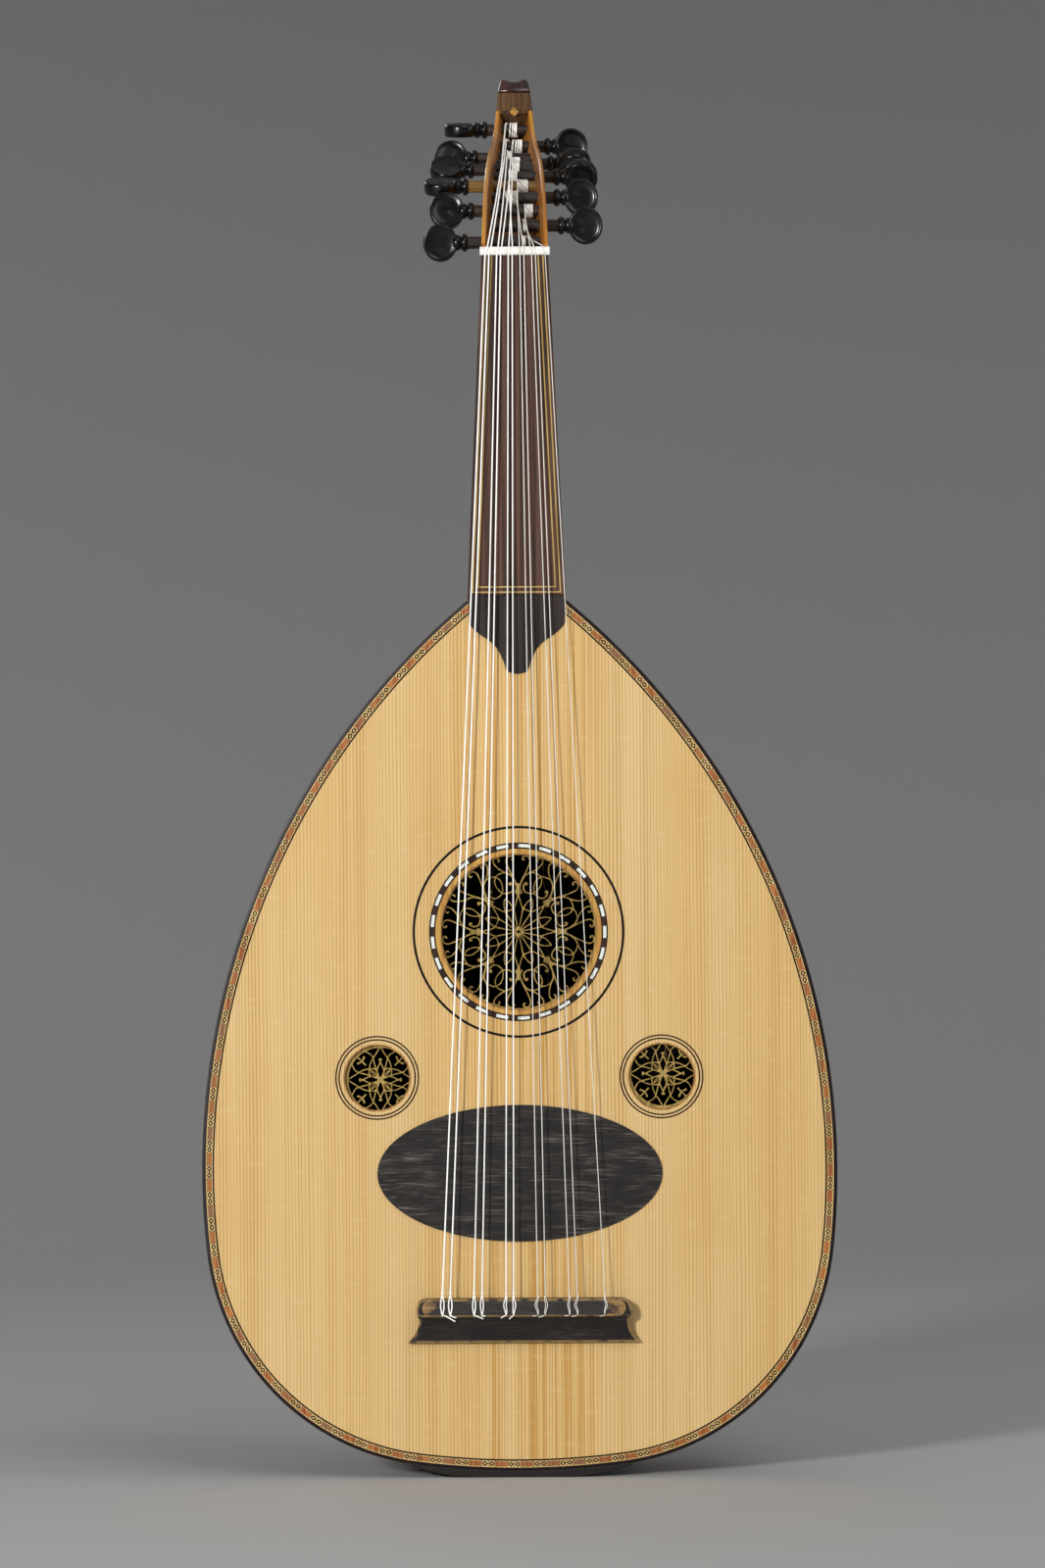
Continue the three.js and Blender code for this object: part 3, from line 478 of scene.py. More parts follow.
def spruce_top():
    """Soundboard: fine upright growth lines, gathered in groups, with amber streaks beside the middle."""
    year = 1.9
    streak_x, streak_reach, streak_core = 0.008, 0.052, 0.015
    recipe = Recipe("spruce_top")
    across = recipe.along_axis(0)
    wander = recipe.noise((16, 1, 0.8), (3, 0, 1), detail=3, roughness=0.6)
    phase = recipe.math("MULTIPLY_ADD", wander, 40.0, recipe.times(across, FULL_TURN / (year * MM)))
    late = recipe.ramp(recipe.math("SINE", phase), 0.1, 1.0)
    groups = recipe.noise((110, 10, 1.3), (7, 0, 0), detail=3, roughness=0.7)
    slow = recipe.noise((24, 10, 2.2), (2, 0, 5), detail=3)
    fine = recipe.noise((1500, 60, 12), detail=1, roughness=0.6)
    streak = recipe.noise((640, 30, 2.6), (4, 0, 9), detail=2, roughness=0.6)
    blotch = recipe.noise((9, 9, 7), (1, 1, 1), detail=4)
    # Cross-silk: lighter horizontal flecks of the wood's ray figure, drawn as a painted sheen.
    silk_sheen = recipe.noise((90, 60, 260), (5, 2, 8), detail=2)
    sideways = recipe.math("ABSOLUTE", recipe.math("SUBTRACT", across, streak_x))
    ribbon = recipe.times(recipe.ramp(streak, 0.5, 0.62), recipe.ramp(sideways, streak_reach, streak_core))
    depth = recipe.math("MULTIPLY_ADD", recipe.ramp(groups, 0.35, 0.7), 0.45, 0.42)
    base = recipe.mix(recipe.ramp(slow, 0.3, 0.7), "E0C088", "DAB677")
    for share, strength, code in (
        (recipe.ramp(groups, 0.45, 0.7), 0.3, "CAA05F"),
        (late, depth, "B58A48"),
        (recipe.ramp(fine, 0.5, 0.75), 0.25, "C49858"),
        (ribbon, 0.75, "B8842E"),
        (recipe.ramp(blotch, 0.5, 0.75), 0.25, "C59850"),
        (recipe.ramp(silk_sheen, 0.55, 0.75), 0.16, "EBD09E"),
    ):
        base = recipe.mix(recipe.times(share, strength), base, code)
    roughness = recipe.math("MULTIPLY_ADD", slow, 0.2, 0.45)
    recipe.finish(base, roughness, recipe.math("ADD", late, fine), 0.03, 0.35, Specular_IOR_Level=0.35)


def stained(name, stain, bare, rub, gloss, edge=None, fade=0.0):
    """Black-stained wood, grain sideways: raised fibres are rubbed paler, and there are scratches along the
    grain, fewer within `fade` mm of the middle."""
    recipe = Recipe(name)
    fibres = recipe.noise(grain_scale(0, 0.5, 15), detail=4, roughness=0.6)
    patches = recipe.noise(grain_scale(0, 6, 24), (2, 6, 1), detail=4)
    scratches = recipe.noise(grain_scale(0, 0.5, 14), (9, 2, 4), detail=2)
    worn = recipe.times(recipe.ramp(fibres, 0.45, 0.72), recipe.ramp(patches, 0.36, 0.7))
    base = recipe.mix(recipe.times(worn, rub), stain, bare)
    scored = recipe.times(recipe.ramp(scratches, 0.62, 0.68), recipe.ramp(patches, 0.4, 0.6))
    if fade:
        sideways = recipe.math("ABSOLUTE", recipe.along_axis(0))
        scored = recipe.times(scored, recipe.ramp(sideways, 0.0, fade * MM))
    base = recipe.mix(recipe.times(scored, 0.6), base, bare)
    if edge:
        base = recipe.rubbed_edges(base, edge, 2.4)
    roughness = recipe.math("MULTIPLY_ADD", worn, 0.25, gloss)
    recipe.finish(base, roughness, fibres, 0.06, 0.6, Specular_IOR_Level=0.3)


def ebony():
    """Oiled ebony with faint grey-brown streaks and fingerprints in the gloss."""
    recipe = Recipe("ebony", grain=True)
    streaks = recipe.noise(grain_scale(0, 1.2, 30), detail=4)
    smudge = recipe.noise((130, 130, 130), detail=5, roughness=0.6)
    base = recipe.mix(recipe.ramp(streaks, 0.5, 0.78), "060607", "181514")
    limits = {"Value": smudge, "From Min": 0.3, "From Max": 0.7, "To Min": 0.2, "To Max": 0.34}
    roughness = recipe.node("MapRange", limits)
    recipe.finish(
        base, roughness, streaks, 0.03, 0.3, Specular_IOR_Level=0.32, Coat_Weight=0.12, Coat_Roughness=0.15
    )


def bone():
    """Bleached bone: white with yellower clouds and fine pores."""
    recipe = Recipe("bone")
    pores = recipe.noise((2400, 2400, 900), detail=3)
    clouds = recipe.noise((190, 190, 190), detail=4)
    base = recipe.mix(recipe.ramp(clouds, 0.3, 0.7), "FBF9F5", "EFEAE0")
    base = recipe.mix(recipe.times(recipe.ramp(pores, 0.62, 0.74), 0.35), base, "CFC4AE")
    recipe.finish(
        base, 0.33, pores, 0.03, 0.3, Subsurface_Weight=0.15, Subsurface_Scale=0.002, Coat_Weight=0.2
    )


def tie_bar_wood():
    """Black bar whose stain has worn through to gold-brown wood at both ends."""
    recipe = Recipe("tie_bar")
    fibres = recipe.noise(grain_scale(0, 0.6, 20), detail=4, roughness=0.6)
    patches = recipe.noise((120, 200, 160), (2, 6, 1), detail=4)
    across = recipe.along_axis(0)
    base = recipe.mix(recipe.ramp(fibres, 0.45, 0.75), "201C1B", "4A423C")
    ends = recipe.math("ADD", recipe.ramp(across, -0.042, -0.056), recipe.ramp(across, 0.034, 0.056))
    bare = recipe.ramp(recipe.math("ADD", patches, recipe.times(ends, 0.3)), 0.68, 0.78)
    gold = recipe.mix(recipe.ramp(fibres, 0.35, 0.65), "6E4F2A", "B08A52")
    base = recipe.mix(recipe.times(bare, ends), base, gold)
    base = recipe.rubbed_edges(base, "A5814E", 1.4)
    recipe.finish(base, recipe.math("MULTIPLY_ADD", fibres, 0.2, 0.35), fibres, 0.05, 0.5)


def pearl():
    """Mother-of-pearl: milky, with slow pink and green clouds."""
    recipe = Recipe("pearl")
    waves = recipe.noise((260, 260, 420), detail=3, distortion=1.5)
    facing = recipe.node("LayerWeight", {"Blend": 0.35}, "Facing")
    base = recipe.mix(recipe.ramp(waves, 0.35, 0.6), "F4F0EA", "DCE6DF")
    base = recipe.mix(recipe.ramp(waves, 0.55, 0.75), base, "EBD3D4")
    base = recipe.mix(facing, base, "C9DDE2")
    recipe.finish(base, 0.2, waves, 0.03, 0.3, Coat_Weight=0.6, Coat_Roughness=0.05)


def string_look(name, bright, shaded, wound):
    """Wound strings are bright, with fine ridges round the core and a faint painted glow; plain ones are
    smooth, paler nylon.
    """
    recipe = Recipe(name)
    tarnish = recipe.noise((600, 600, 60), detail=4)
    base = recipe.mix(recipe.ramp(tarnish, 0.4, 0.75), bright, shaded)
    if wound:
        ridges = recipe.node("TexWave", {"Vector": recipe.place, "Scale": 1100.0}, 1, bands_direction="Z")
        # Painted light: a faint emission in the string's own colour makes the wound strings glow.
        recipe.finish(base, 0.34, ridges, 0.02, 0.15, Emission_Color=base, Emission_Strength=0.14)
    else:
        recipe.finish(base, 0.28, tarnish, 0.02, 0.4, Coat_Weight=0.3)


# The ribs' faces towards the bowl's inside carry painted shade (hollow=True).
wood("rib_dark", "2E150C", "5C2F1B", grain=True, band=3.5, gloss=0.3, coat=0.5, hollow=True)
wood("rib_light", "6E3D1E", "A8693A", grain=True, band=3, gloss=0.3, coat=0.5, hollow=True)
wood("purfling", "B98F55", "DDBD84", band=1.5, gloss=0.4, coat=0.3)
wood("clasp", "090605", "1A110F", along=0, band=2, gloss=0.5, wear="3A261B")
spruce_top()
wood("raw_spruce", "7A5A30", "A98450", along=0, band=2, gloss=0.7)
wood("binding", "0E0A0B", "231A1B", band=1.5, gloss=0.4, wear="5E4034", shine=0.25)
wood("mosaic_brown", "8C4A20", "B87438", band=1.2, gloss=0.45, tint="6F5F4A")
wood("mosaic_dark", "0B0605", "1E120D", band=1.2, gloss=0.6, shine=0.15)
wood("mosaic_cream", "C9A05C", "E2C587", band=1.2, gloss=0.45)
wood("ring_brown", "20140D", "3E2A1E", band=1.2, gloss=0.6, shine=0.2)
wood("ring_amber", "B98436", "DAAE5C", band=1.6, gloss=0.4)
wood("rose_wood", "7E6630", "B89B52", band=2, gloss=0.55, wear="C9A95E")
wood("rose_rim", "7A4F20", "B98A45", band=1.5, gloss=0.5)
pearl()
stained("stained_veneer", "1A1716", "847A70", rub=0.6, gloss=0.55, fade=70)
stained("bridge_wood", "211E1D", "4E4742", rub=0.6, gloss=0.42, edge="BC9860")
tie_bar_wood()
wood("neck_wood", "2F170D", "5C3420", band=3, gloss=0.3, coat=0.4)
wood("fingerboard_wood", "35251F", "65483C", band=3.2, gloss=0.42, pores=0.8, shine=0.2)
wood("tongue_wood", "201A1C", "3C3230", gloss=0.5, pores=0.8, shine=0.2)
wood("maple_line", "A8853F", "CDB06A", band=0.8, gloss=0.4)
bone()
wood("cheek_wood", "AC681A", "E0A03C", grain=True, band=2.6, gloss=0.28, coat=0.5, pores=0.7)
# Painted shade for the pegbox's inner walls: a darker copy of the cheek wood.
wood("cheek_painted_shade", "7E4814", "B87828", grain=True, band=2.6, gloss=0.4)
wood("pegbox_back", "5A3216", "8C5828", grain=True, band=3, gloss=0.3, coat=0.4)
wood("end_block", "3E2A18", "6E4E2E", grain=True, band=1.6, gloss=0.5)
# Painted highlight: the gold of the small point under the end block.
wood("lip_gold_highlight", "A8752E", "CC9C4C", grain=True, band=1, gloss=0.3, coat=0.5)
wood("cap_wood", "1E0B08", "48221C", grain=True, gloss=0.16, coat=1.0)
ebony()
wood("peg_shaft", "1A1614", "3E342E", along=0, grain=True, band=1.5)
wood("peg_shaft_pale", "5E4522", "93703A", along=0, grain=True, band=1.5)
string_look("wound_string", "FFFEFA", "ECE8DF", wound=True)
string_look("nylon_string", "EDEAE2", "D5D0C4", wound=False)


# ---- Body outline ----


def hip_centre(flank, tail):
    """The hip arc touches the flank and tail arcs, so its centre lies at known distances from theirs."""
    from_flank = FLANK_RADIUS - HIP_RADIUS
    from_tail = TAIL_RADIUS - HIP_RADIUS
    dx = tail[0] - flank[0]
    dz = tail[1] - flank[1]
    apart = math.hypot(dx, dz)
    along = (from_flank**2 - from_tail**2 + apart**2) / (2 * apart)
    aside = math.sqrt(from_flank**2 - along**2)
    return flank[0] + (along * dx + aside * dz) / apart, flank[1] + (along * dz - aside * dx) / apart


FLANK_CENTRE = (BODY_HALF_WIDTH - FLANK_RADIUS, WIDEST_Z)
TAIL_CENTRE = (0, BODY_TAIL_Z + TAIL_RADIUS)
HIP_CENTRE = hip_centre(FLANK_CENTRE, TAIL_CENTRE)
TAIL_TURN = math.atan2(HIP_CENTRE[1] - TAIL_CENTRE[1], HIP_CENTRE[0] - TAIL_CENTRE[0])
HIP_TURN = math.atan2(HIP_CENTRE[1] - FLANK_CENTRE[1], HIP_CENTRE[0] - FLANK_CENTRE[0])
TOP_TURN = math.asin((NECK_JOINT_Z - WIDEST_Z) / FLANK_RADIUS)
ARCS = [
    (TAIL_CENTRE, TAIL_RADIUS, -math.pi / 2, TAIL_TURN),
    (HIP_CENTRE, HIP_RADIUS, TAIL_TURN, HIP_TURN),
    (FLANK_CENTRE, FLANK_RADIUS, HIP_TURN, TOP_TURN),
]
SIDE_LENGTH = sum(radius * (end - start) for _, radius, start, end in ARCS)
ALL_ROUND = (-SIDE_LENGTH, SIDE_LENGTH)


def edge_point(run, inset):
    """(x, z) on the body's outline: run is the distance from the tail's middle, negative on the bass side."""
    left = abs(run)
    for centre, radius, start, end in ARCS:
        length = radius * (end - start)
        if left <= length or centre is FLANK_CENTRE:
            angle = start + left / radius
            x = centre[0] + (radius - inset) * math.cos(angle)
            return math.copysign(1, run) * x, centre[1] + (radius - inset) * math.sin(angle)
        left -= length


def edge_strip(solids, start, end, section, step=4.0, tone=0.0):
    """Sweeps a cross-section of (inset, y) corners along the outline."""
    rings = []
    for run in steps_between(start, end, step):
        places = [(edge_point(run, inset), y) for inset, y in section]
        rings.append([(x, y, z) for (x, z), y in places])
    solids.loft(rings, tone=tone)


def flat_section(outer, inner, proud):
    """A strip let into the face between two insets, standing a little proud."""
    front, back = FACE_Y - proud, FACE_Y + 0.6
    return [(outer, front), (inner, front), (inner, back), (outer, back)]


def tail_z(offset):
    """Height of the body's rounded tail at a distance from its middle."""
    return TAIL_CENTRE[1] - math.sqrt(TAIL_RADIUS**2 - offset**2)


# ---- Bowl ----


def rib_profile(inset):
    """(x, z, run) along the half outline, from under the clasp to the neck joint."""
    count = 84
    start = TAIL_RADIUS * math.asin(RIB_START_X / TAIL_RADIUS)
    runs = steps_between(start, SIDE_LENGTH, (SIDE_LENGTH - start) / count)
    return [(*edge_point(run, inset), run) for run in runs]


def rib_row(x, z, run, first, last, low, shift):
    """Points and grain across a rib between two angles, on a line partway from its chord to a true arc."""
    across_steps, roundness = 6, 0.45
    points, grain = [], []
    for k in range(across_steps + 1):
        share = k / across_steps
        angle = first + (last - first) * share
        offsets = []
        for part in (math.cos, math.sin):
            chord = (1 - share) * part(first) + share * part(last)
            offsets.append(x * (roundness * part(angle) + (1 - roundness) * chord))
        points.append((offsets[0], BOWL_FRONT_Y + offsets[1], z))
        grain.append((x * (angle - low) + shift, shift, run))
    return points, grain


def build_ribs():
    """Each rib runs between two planes through the soundboard's middle line."""
    joint = 0.35
    outside = rib_profile(0)
    inside = rib_profile(RIB_THICKNESS)
    for number in range(RIB_COUNT):
        low = math.pi * number / RIB_COUNT
        high = math.pi * (number + 1) / RIB_COUNT
        low_gap = joint if number > 0 else 0
        high_gap = joint if number < RIB_COUNT - 1 else 0
        shift = rng.uniform(0, 900)
        rings, grain = [], []
        for pair in zip(outside, inside):
            (outer, outer_grain), (inner, inner_grain) = (
                rib_row(x, z, run, low + low_gap / x, high - high_gap / x, low, shift) for x, z, run in pair
            )
            rings.append(outer + inner[::-1])
            grain += outer_grain + inner_grain[::-1]
        solids = Solids()
        solids.loft(rings, grain)
        name = f"rib_{number + 1:02d}"
        solids.piece(name + "_bowl", "rib_light" if number % 2 else "rib_dark", name)

    lines = Solids()
    half, proud, let_in = 0.36, 0.12, -1.6
    for number in range(1, RIB_COUNT):
        angle = math.pi * number / RIB_COUNT
        rings = []
        for x, z, _ in outside:
            ring = []
            for reach, side in ((proud, -1), (proud, 1), (let_in, 1), (let_in, -1)):
                radius = x + reach
                across = radius * math.cos(angle) - side * half * math.sin(angle)
                back = BOWL_FRONT_Y + radius * math.sin(angle) + side * half * math.cos(angle)
                ring.append((across, back, z))
            rings.append(ring)
        lines.loft(rings)
    lines.piece("rib_purfling", "purfling")


def build_clasp():
    """Dark cap over the tail: flat in the middle underneath, running out thin to both ends."""
    half_length, flat_half, depth, step = 62, 24, 17, 2.5
    end = bezier((flat_half, 0), (37, 0.1), (48, 1.8), (half_length, tail_z(half_length) - 1.2), 12)
    lower = mirrored(end) + [(flat_half * share, 0) for share in (-1, -0.5, 0, 0.5, 1)] + end
    rings = []
    for x, low_z in lower:
        bottom, top = [], []
        for y in steps_between(-depth, depth, step):
            behind = max(0.0, y - BOWL_FRONT_Y)
            bottom.append((x, y, low_z))
            top.append((x, y, max(tail_z(math.hypot(x, behind)) + 0.3, low_z + 0.8)))
        rings.append(bottom + top[::-1])
    lofted("end_clasp_cap", rings, "clasp", "end_clasp", edge=0.5)


# ---- Soundboard, its border and its rings ----


def half_board(side, name, node=None):
    """One of the two boards that meet on the middle line, with half of the rose hole and one side hole."""
    top = FINGERBOARD_START_Z - 0.3
    gap = 0.02
    outer = [edge_point(run, BORDER_DARK) for run in steps_between(0.001, SIDE_LENGTH, 5)]
    hole = arc((0, ROSE_Z), ROSE_HOLE, math.pi / 2, -math.pi / 2, 64)
    loop = [(gap, outer[0][1])] + outer[1:] + [(outer[-1][0] - 1.5, top), (gap, top)]
    loop += [(max(x, gap), z) for x, z in hole]
    side_hole = arc((SIDE_ROSE_X, SIDE_ROSE_Z), SIDE_ROSE_HOLE, 0, FULL_TURN, 72)[:-1]
    loops = [[(side * x, z) for x, z in points] for points in (loop, side_hole)]
    plate(name, loops, FACE_Y, BOARD_THICKNESS, "spruce_top", node)


def build_soundboard():
    half_board(1, "soundboard_treble_half", "soundboard")
    half_board(-1, "soundboard_bass_half")
    binding = Solids()
    back = FACE_Y + BOARD_THICKNESS + 0.3
    section = [
        (0.6, FACE_Y - 0.05), (BORDER_DARK, FACE_Y - 0.05), (BORDER_DARK, back),
        (-0.1, back), (-0.1, FACE_Y + 0.5), (0.1, FACE_Y + 0.15),
    ]
    edge_strip(binding, *ALL_ROUND, section)
    binding.piece("edge_binding_strip", "binding", "edge_binding")


def diamond(solids, run, inset, half_length, half_width, proud):
    reaches = ((-half_length, 0), (0, half_width), (half_length, 0), (0, -half_width))
    places = [edge_point(run + along, inset + aside) for along, aside in reaches]
    solids.loft([[(x, y, z) for x, z in places] for y in (FACE_Y - proud, FACE_Y + 0.4)])


def build_border():
    """Cream lines on both sides of a band where plain brown tiles alternate with pairs of small lozenges."""
    repeat_length, tile_share, proud = 14.7, 0.46, 0.1
    cream, black, brown, lozenge, heart = (Solids() for _ in range(5))
    edge_strip(cream, *ALL_ROUND, flat_section(BORDER_DARK, BORDER_INNER_CREAM, 0.05))
    edge_strip(black, *ALL_ROUND, flat_section(BORDER_INNER_CREAM, BORDER_BLACK, 0.06))
    repeats = round(2 * SIDE_LENGTH / repeat_length)
    period = 2 * SIDE_LENGTH / repeats
    tile = tile_share * period
    chain = period - tile
    middle = (BORDER_CREAM + BORDER_TILES) / 2
    for i in range(repeats):
        start = -SIDE_LENGTH + i * period
        tone = rng.choice((0.0, 0.0, 0.2, 0.6)) * rng.uniform(0.6, 1)
        edge_strip(brown, start, start + tile, flat_section(BORDER_CREAM, BORDER_TILES, proud), 2.5, tone)
        for share in (0.26, 0.74):
            centre = start + tile + chain * share
            diamond(lozenge, centre, middle, chain * 0.255, 1.42, proud)
            diamond(heart, centre, middle, chain * 0.115, 0.6, 0.14)
        for share in (0.0, 0.5, 1.0):
            centre = start + tile + chain * share
            for edge in (BORDER_CREAM + 0.15, BORDER_TILES - 0.15):
                diamond(lozenge, centre, edge, 0.6, 0.34, proud)
    cream.piece("border_cream_ground", "mosaic_cream")
    black.piece("border_black_line", "mosaic_dark")
    brown.piece("border_brown_tiles", "mosaic_brown")
    lozenge.piece("border_lozenges", "mosaic_dark")
    heart.piece("border_lozenge_hearts", "mosaic_cream")


def add_ring(solids, centre, inner, outer, front, back, steps, start=0.0, end=FULL_TURN):
    """A flat ring between two radii and two y, or a piece of one between two angles from the top."""
    full = end - start == FULL_TURN
    angles = [start + (end - start) * i / steps for i in range(steps if full else steps + 1)]
    section = ((inner, front), (outer, front), (outer, back), (inner, back))
    rings = []
    for a in angles:
        rings.append([(centre[0] + r * math.sin(a), y, centre[1] + r * math.cos(a)) for r, y in section])
    solids.loft(rings, closed=full)


def build_rings():
    """An amber ring, then a brown band with pearl dashes, round the rose; lines and a rim round all three."""
    steps, side_steps, dash_steps = 160, 96, 5
    band_inner, band_outer, outer_line = 46.9, 49.6, (57.9, 59.3)
    dashes, dash_share, dash_inner, dash_outer = 25, 0.55, 47.4, 49.15
    side_lines = (20.9, 21.7), (22.7, 23.5)
    back = FACE_Y + 0.6
    centre = (0, ROSE_Z)
    side_centres = [(x, SIDE_ROSE_Z) for x in (-SIDE_ROSE_X, SIDE_ROSE_X)]
    amber, brown, white, lines, rims = (Solids() for _ in range(5))
    add_ring(amber, centre, ROSE_HOLE, band_inner, FACE_Y - 0.04, back, steps)
    add_ring(brown, centre, band_inner, band_outer, FACE_Y - 0.06, back, steps)
    for i in range(dashes):
        start = FULL_TURN * i / dashes
        end = start + FULL_TURN / dashes * dash_share
        add_ring(white, centre, dash_inner, dash_outer, FACE_Y - 0.1, back, dash_steps, start, end)
    beside_band = (band_inner - 0.4, band_inner + 0.1), (band_outer - 0.1, band_outer + 0.4)
    for low, high in (*beside_band, outer_line):
        add_ring(lines, centre, low, high, FACE_Y - 0.07, back, steps)
    rim_back = FACE_Y + 1.7
    add_ring(rims, centre, ROSE_HOLE - 0.7, ROSE_HOLE + 0.1, FACE_Y - 0.06, rim_back, steps)
    for place in side_centres:
        for low, high in side_lines:
            add_ring(lines, place, low, high, FACE_Y - 0.06, back, side_steps)
        hole = SIDE_ROSE_HOLE
        add_ring(rims, place, hole - 0.5, hole + 0.4, FACE_Y - 0.06, rim_back, side_steps)
    amber.piece("rose_ring_amber", "ring_amber")
    brown.piece("rose_ring_dark", "ring_brown")
    white.piece("rose_ring_pearl", "pearl")
    lines.piece("rose_ring_lines", "mosaic_dark")
    rims.piece("rose_hole_rims", "rose_rim")


# ---- Pierced roses ----

# Strokes of half a repeat: width at both ends, then (degrees from the repeat's axis, radius).
MAIN_STROKES = [
    (0.7, 0.7, [(0, 24), (0.6, 20.5), (2.2, 18.5), (7.2, 14.6), (13, 13.2), (22.5, 12.9)]),
    (0.7, 0.7, [(12.5, 13), (14.2, 15), (17.6, 17.4), (22.5, 19.9)]),
    (1.6, 0.3, [(0.8, 24.2), (3, 23.2), (5.8, 21.4)]),
    (1.4, 0.3, [(0.5, 24), (1.6, 22.6), (3.2, 20.8)]),
    (1.8, 1.8, [(0.5, 23.2), (0.9, 25), (0.5, 26.8)]),
    (1.0, 0.8, [(9.4, 26.4), (10.6, 27), (9.6, 27.7), (8.2, 27.4), (6.9, 25.8), (7.2, 24), (10, 22.6),
                (16, 22.3), (22.5, 23.2)]),
    (0.7, 0.7, [(22.5, 23.4), (20.2, 25.2), (18.9, 28.2), (19.8, 31), (22.5, 33)]),
    (0.7, 0.7, [(2.5, 25.6), (5, 29.5), (9, 32.6), (12.5, 33.9), (18.8, 33.9), (22.5, 33.2)]),
    (0.75, 0.9, [(0.8, 25.5), (4, 29), (7.5, 33.8), (9.6, 39.1), (8.8, 41.5), (6.4, 42.6), (3.6, 41.8),
                 (4, 40.4), (5.4, 40.6)]),
    (0.75, 0.9, [(1.5, 25.2), (6.4, 31.2), (12.8, 34.1), (17.1, 36.7), (19.5, 39.9), (19.4, 42), (18, 43),
                 (16, 42.6), (15, 41.4), (16.2, 40.5)]),
]
MAIN_AXIS_STROKES = [(1.4, 1.4, [(0, 22.8), (0, 27)])]
SIDE_STROKES = [
    (0.72, 0.72, [(0, 18.8), (9.2, 14.8), (18.8, 12.8), (30, 10.9), (37.5, 9.7), (45, 8.6), (58, 7.4),
                  (67, 6)]),
    (0.72, 0.72, [(30, 18.8), (21.3, 15.4), (18.8, 12.7), (20.8, 8.8), (22.5, 6)]),
    (0.8, 0.7, [(0, 11), (2, 9.3), (10, 7.4), (20, 5.8)]),
    (0.55, 0.55, [(45, 1.4), (37.4, 4.5), (45, 8)]),
    (0.7, 1.3, [(45, 14.5), (40, 14.9), (34.5, 15.9)]),
]
SIDE_AXIS_STROKES = [(0.9, 0.9, [(45, 18.8), (45, 11.4)]), (2.0, 2.0, [(0, 11.9), (0, 10.9)])]
SIDE_FRETWORK_CENTRES = {"bass": (-77.7, 222.7), "treble": (80.5, 225.4)}


def build_rose(name, node, centre, repeats, strokes, axis_strokes, circles, spokes, voxel):
    """Fretwork cut from a thin disc: strokes in polar form, mirrored and turned, melted into one body."""
    front = FACE_Y + BOARD_THICKNESS
    thickness = 1.5
    solids = Solids()

    def ribbon(path, start_width, end_width):
        """Bar of rectangular section with eased front corners, along points (x, z) from the centre."""
        rings = []
        for i, (x, z) in enumerate(path):
            ahead, behind = path[min(i + 1, len(path) - 1)], path[max(i - 1, 0)]
            dx, dz = ahead[0] - behind[0], ahead[1] - behind[1]
            length = math.hypot(dx, dz) or 1
            nx, nz = -dz / length, dx / length
            half = (start_width + (end_width - start_width) * i / (len(path) - 1)) / 2
            section = [(-half, 0.35), (-half * 0.55, 0), (half * 0.55, 0), (half, 0.35), (half, thickness),
                       (-half, thickness)]
            rings.append([(centre[0] + x + nx * a, front + b, centre[1] + z + nz * a) for a, b in section])
        solids.loft(rings)

    def polar(points, turn, mirror=1):
        angles = [turn + mirror * angle * DEG for angle, _ in points]
        return [(radius * math.sin(a), radius * math.cos(a)) for a, (_, radius) in zip(angles, points)]

    for turn in around(repeats):
        for start_width, end_width, stroke in strokes:
            for mirror in (1, -1):
                ribbon(smooth_path(polar(stroke, turn, mirror), 5), start_width, end_width)
        for start_width, end_width, stroke in axis_strokes:
            ribbon(polar(stroke, turn), start_width, end_width)
    spoke_count, spoke_start, spoke_end = spokes
    for k in range(spoke_count):
        turn = FULL_TURN * (k + 0.5) / spoke_count
        ribbon(polar([(0, spoke_start), (0, spoke_end)], turn), 0.5, 0.9)
    for inner, outer in circles:
        add_ring(solids, centre, inner, outer, front, front + thickness, 96)
    piece = solids.piece(name, "rose_wood", node, smooth=60)
    melt = piece.modifiers.new("melt", "REMESH")
    melt.mode = "VOXEL"
    melt.voxel_size = voxel * MM
    melt.use_smooth_shade = True
    ease = piece.modifiers.new("ease", "SMOOTH")
    ease.factor = 0.5
    ease.iterations = 2


def build_roses():
    """The side roses were glued a little off their holes."""
    build_rose(
        "rose_fretwork", "rose", (0, ROSE_Z), 8, MAIN_STROKES, MAIN_AXIS_STROKES,
        circles=[(42.9, 46.4), (0.9, 2.65)], spokes=(16, 2.3, 13.1), voxel=0.2,
    )
    for label, centre in SIDE_FRETWORK_CENTRES.items():
        build_rose(
            f"side_rose_{label}_fretwork", f"side_rose_{label}", centre, 4, SIDE_STROKES, SIDE_AXIS_STROKES,
            circles=[(18.0, 21.2), (0.05, 1.6)], spokes=(8, 1.2, 6.1), voxel=0.15,
        )


# ---- What is glued on the soundboard ----


def build_pick_guard():
    low, high = cad_range("pick_guard")
    middle_x, middle_z = (low.x + high.x) / 2, (low.z + high.z) / 2
    half_x, half_z = (high.x - low.x) / 2, (high.z - low.z) / 2
    loop = [(middle_x + half_x * math.cos(a), middle_z + half_z * math.sin(a)) for a in around(144)]
    thickness = high.y - low.y + 0.1
    plate("pick_guard_veneer", [loop], low.y, thickness, "stained_veneer", "pick_guard", edge=0.25)


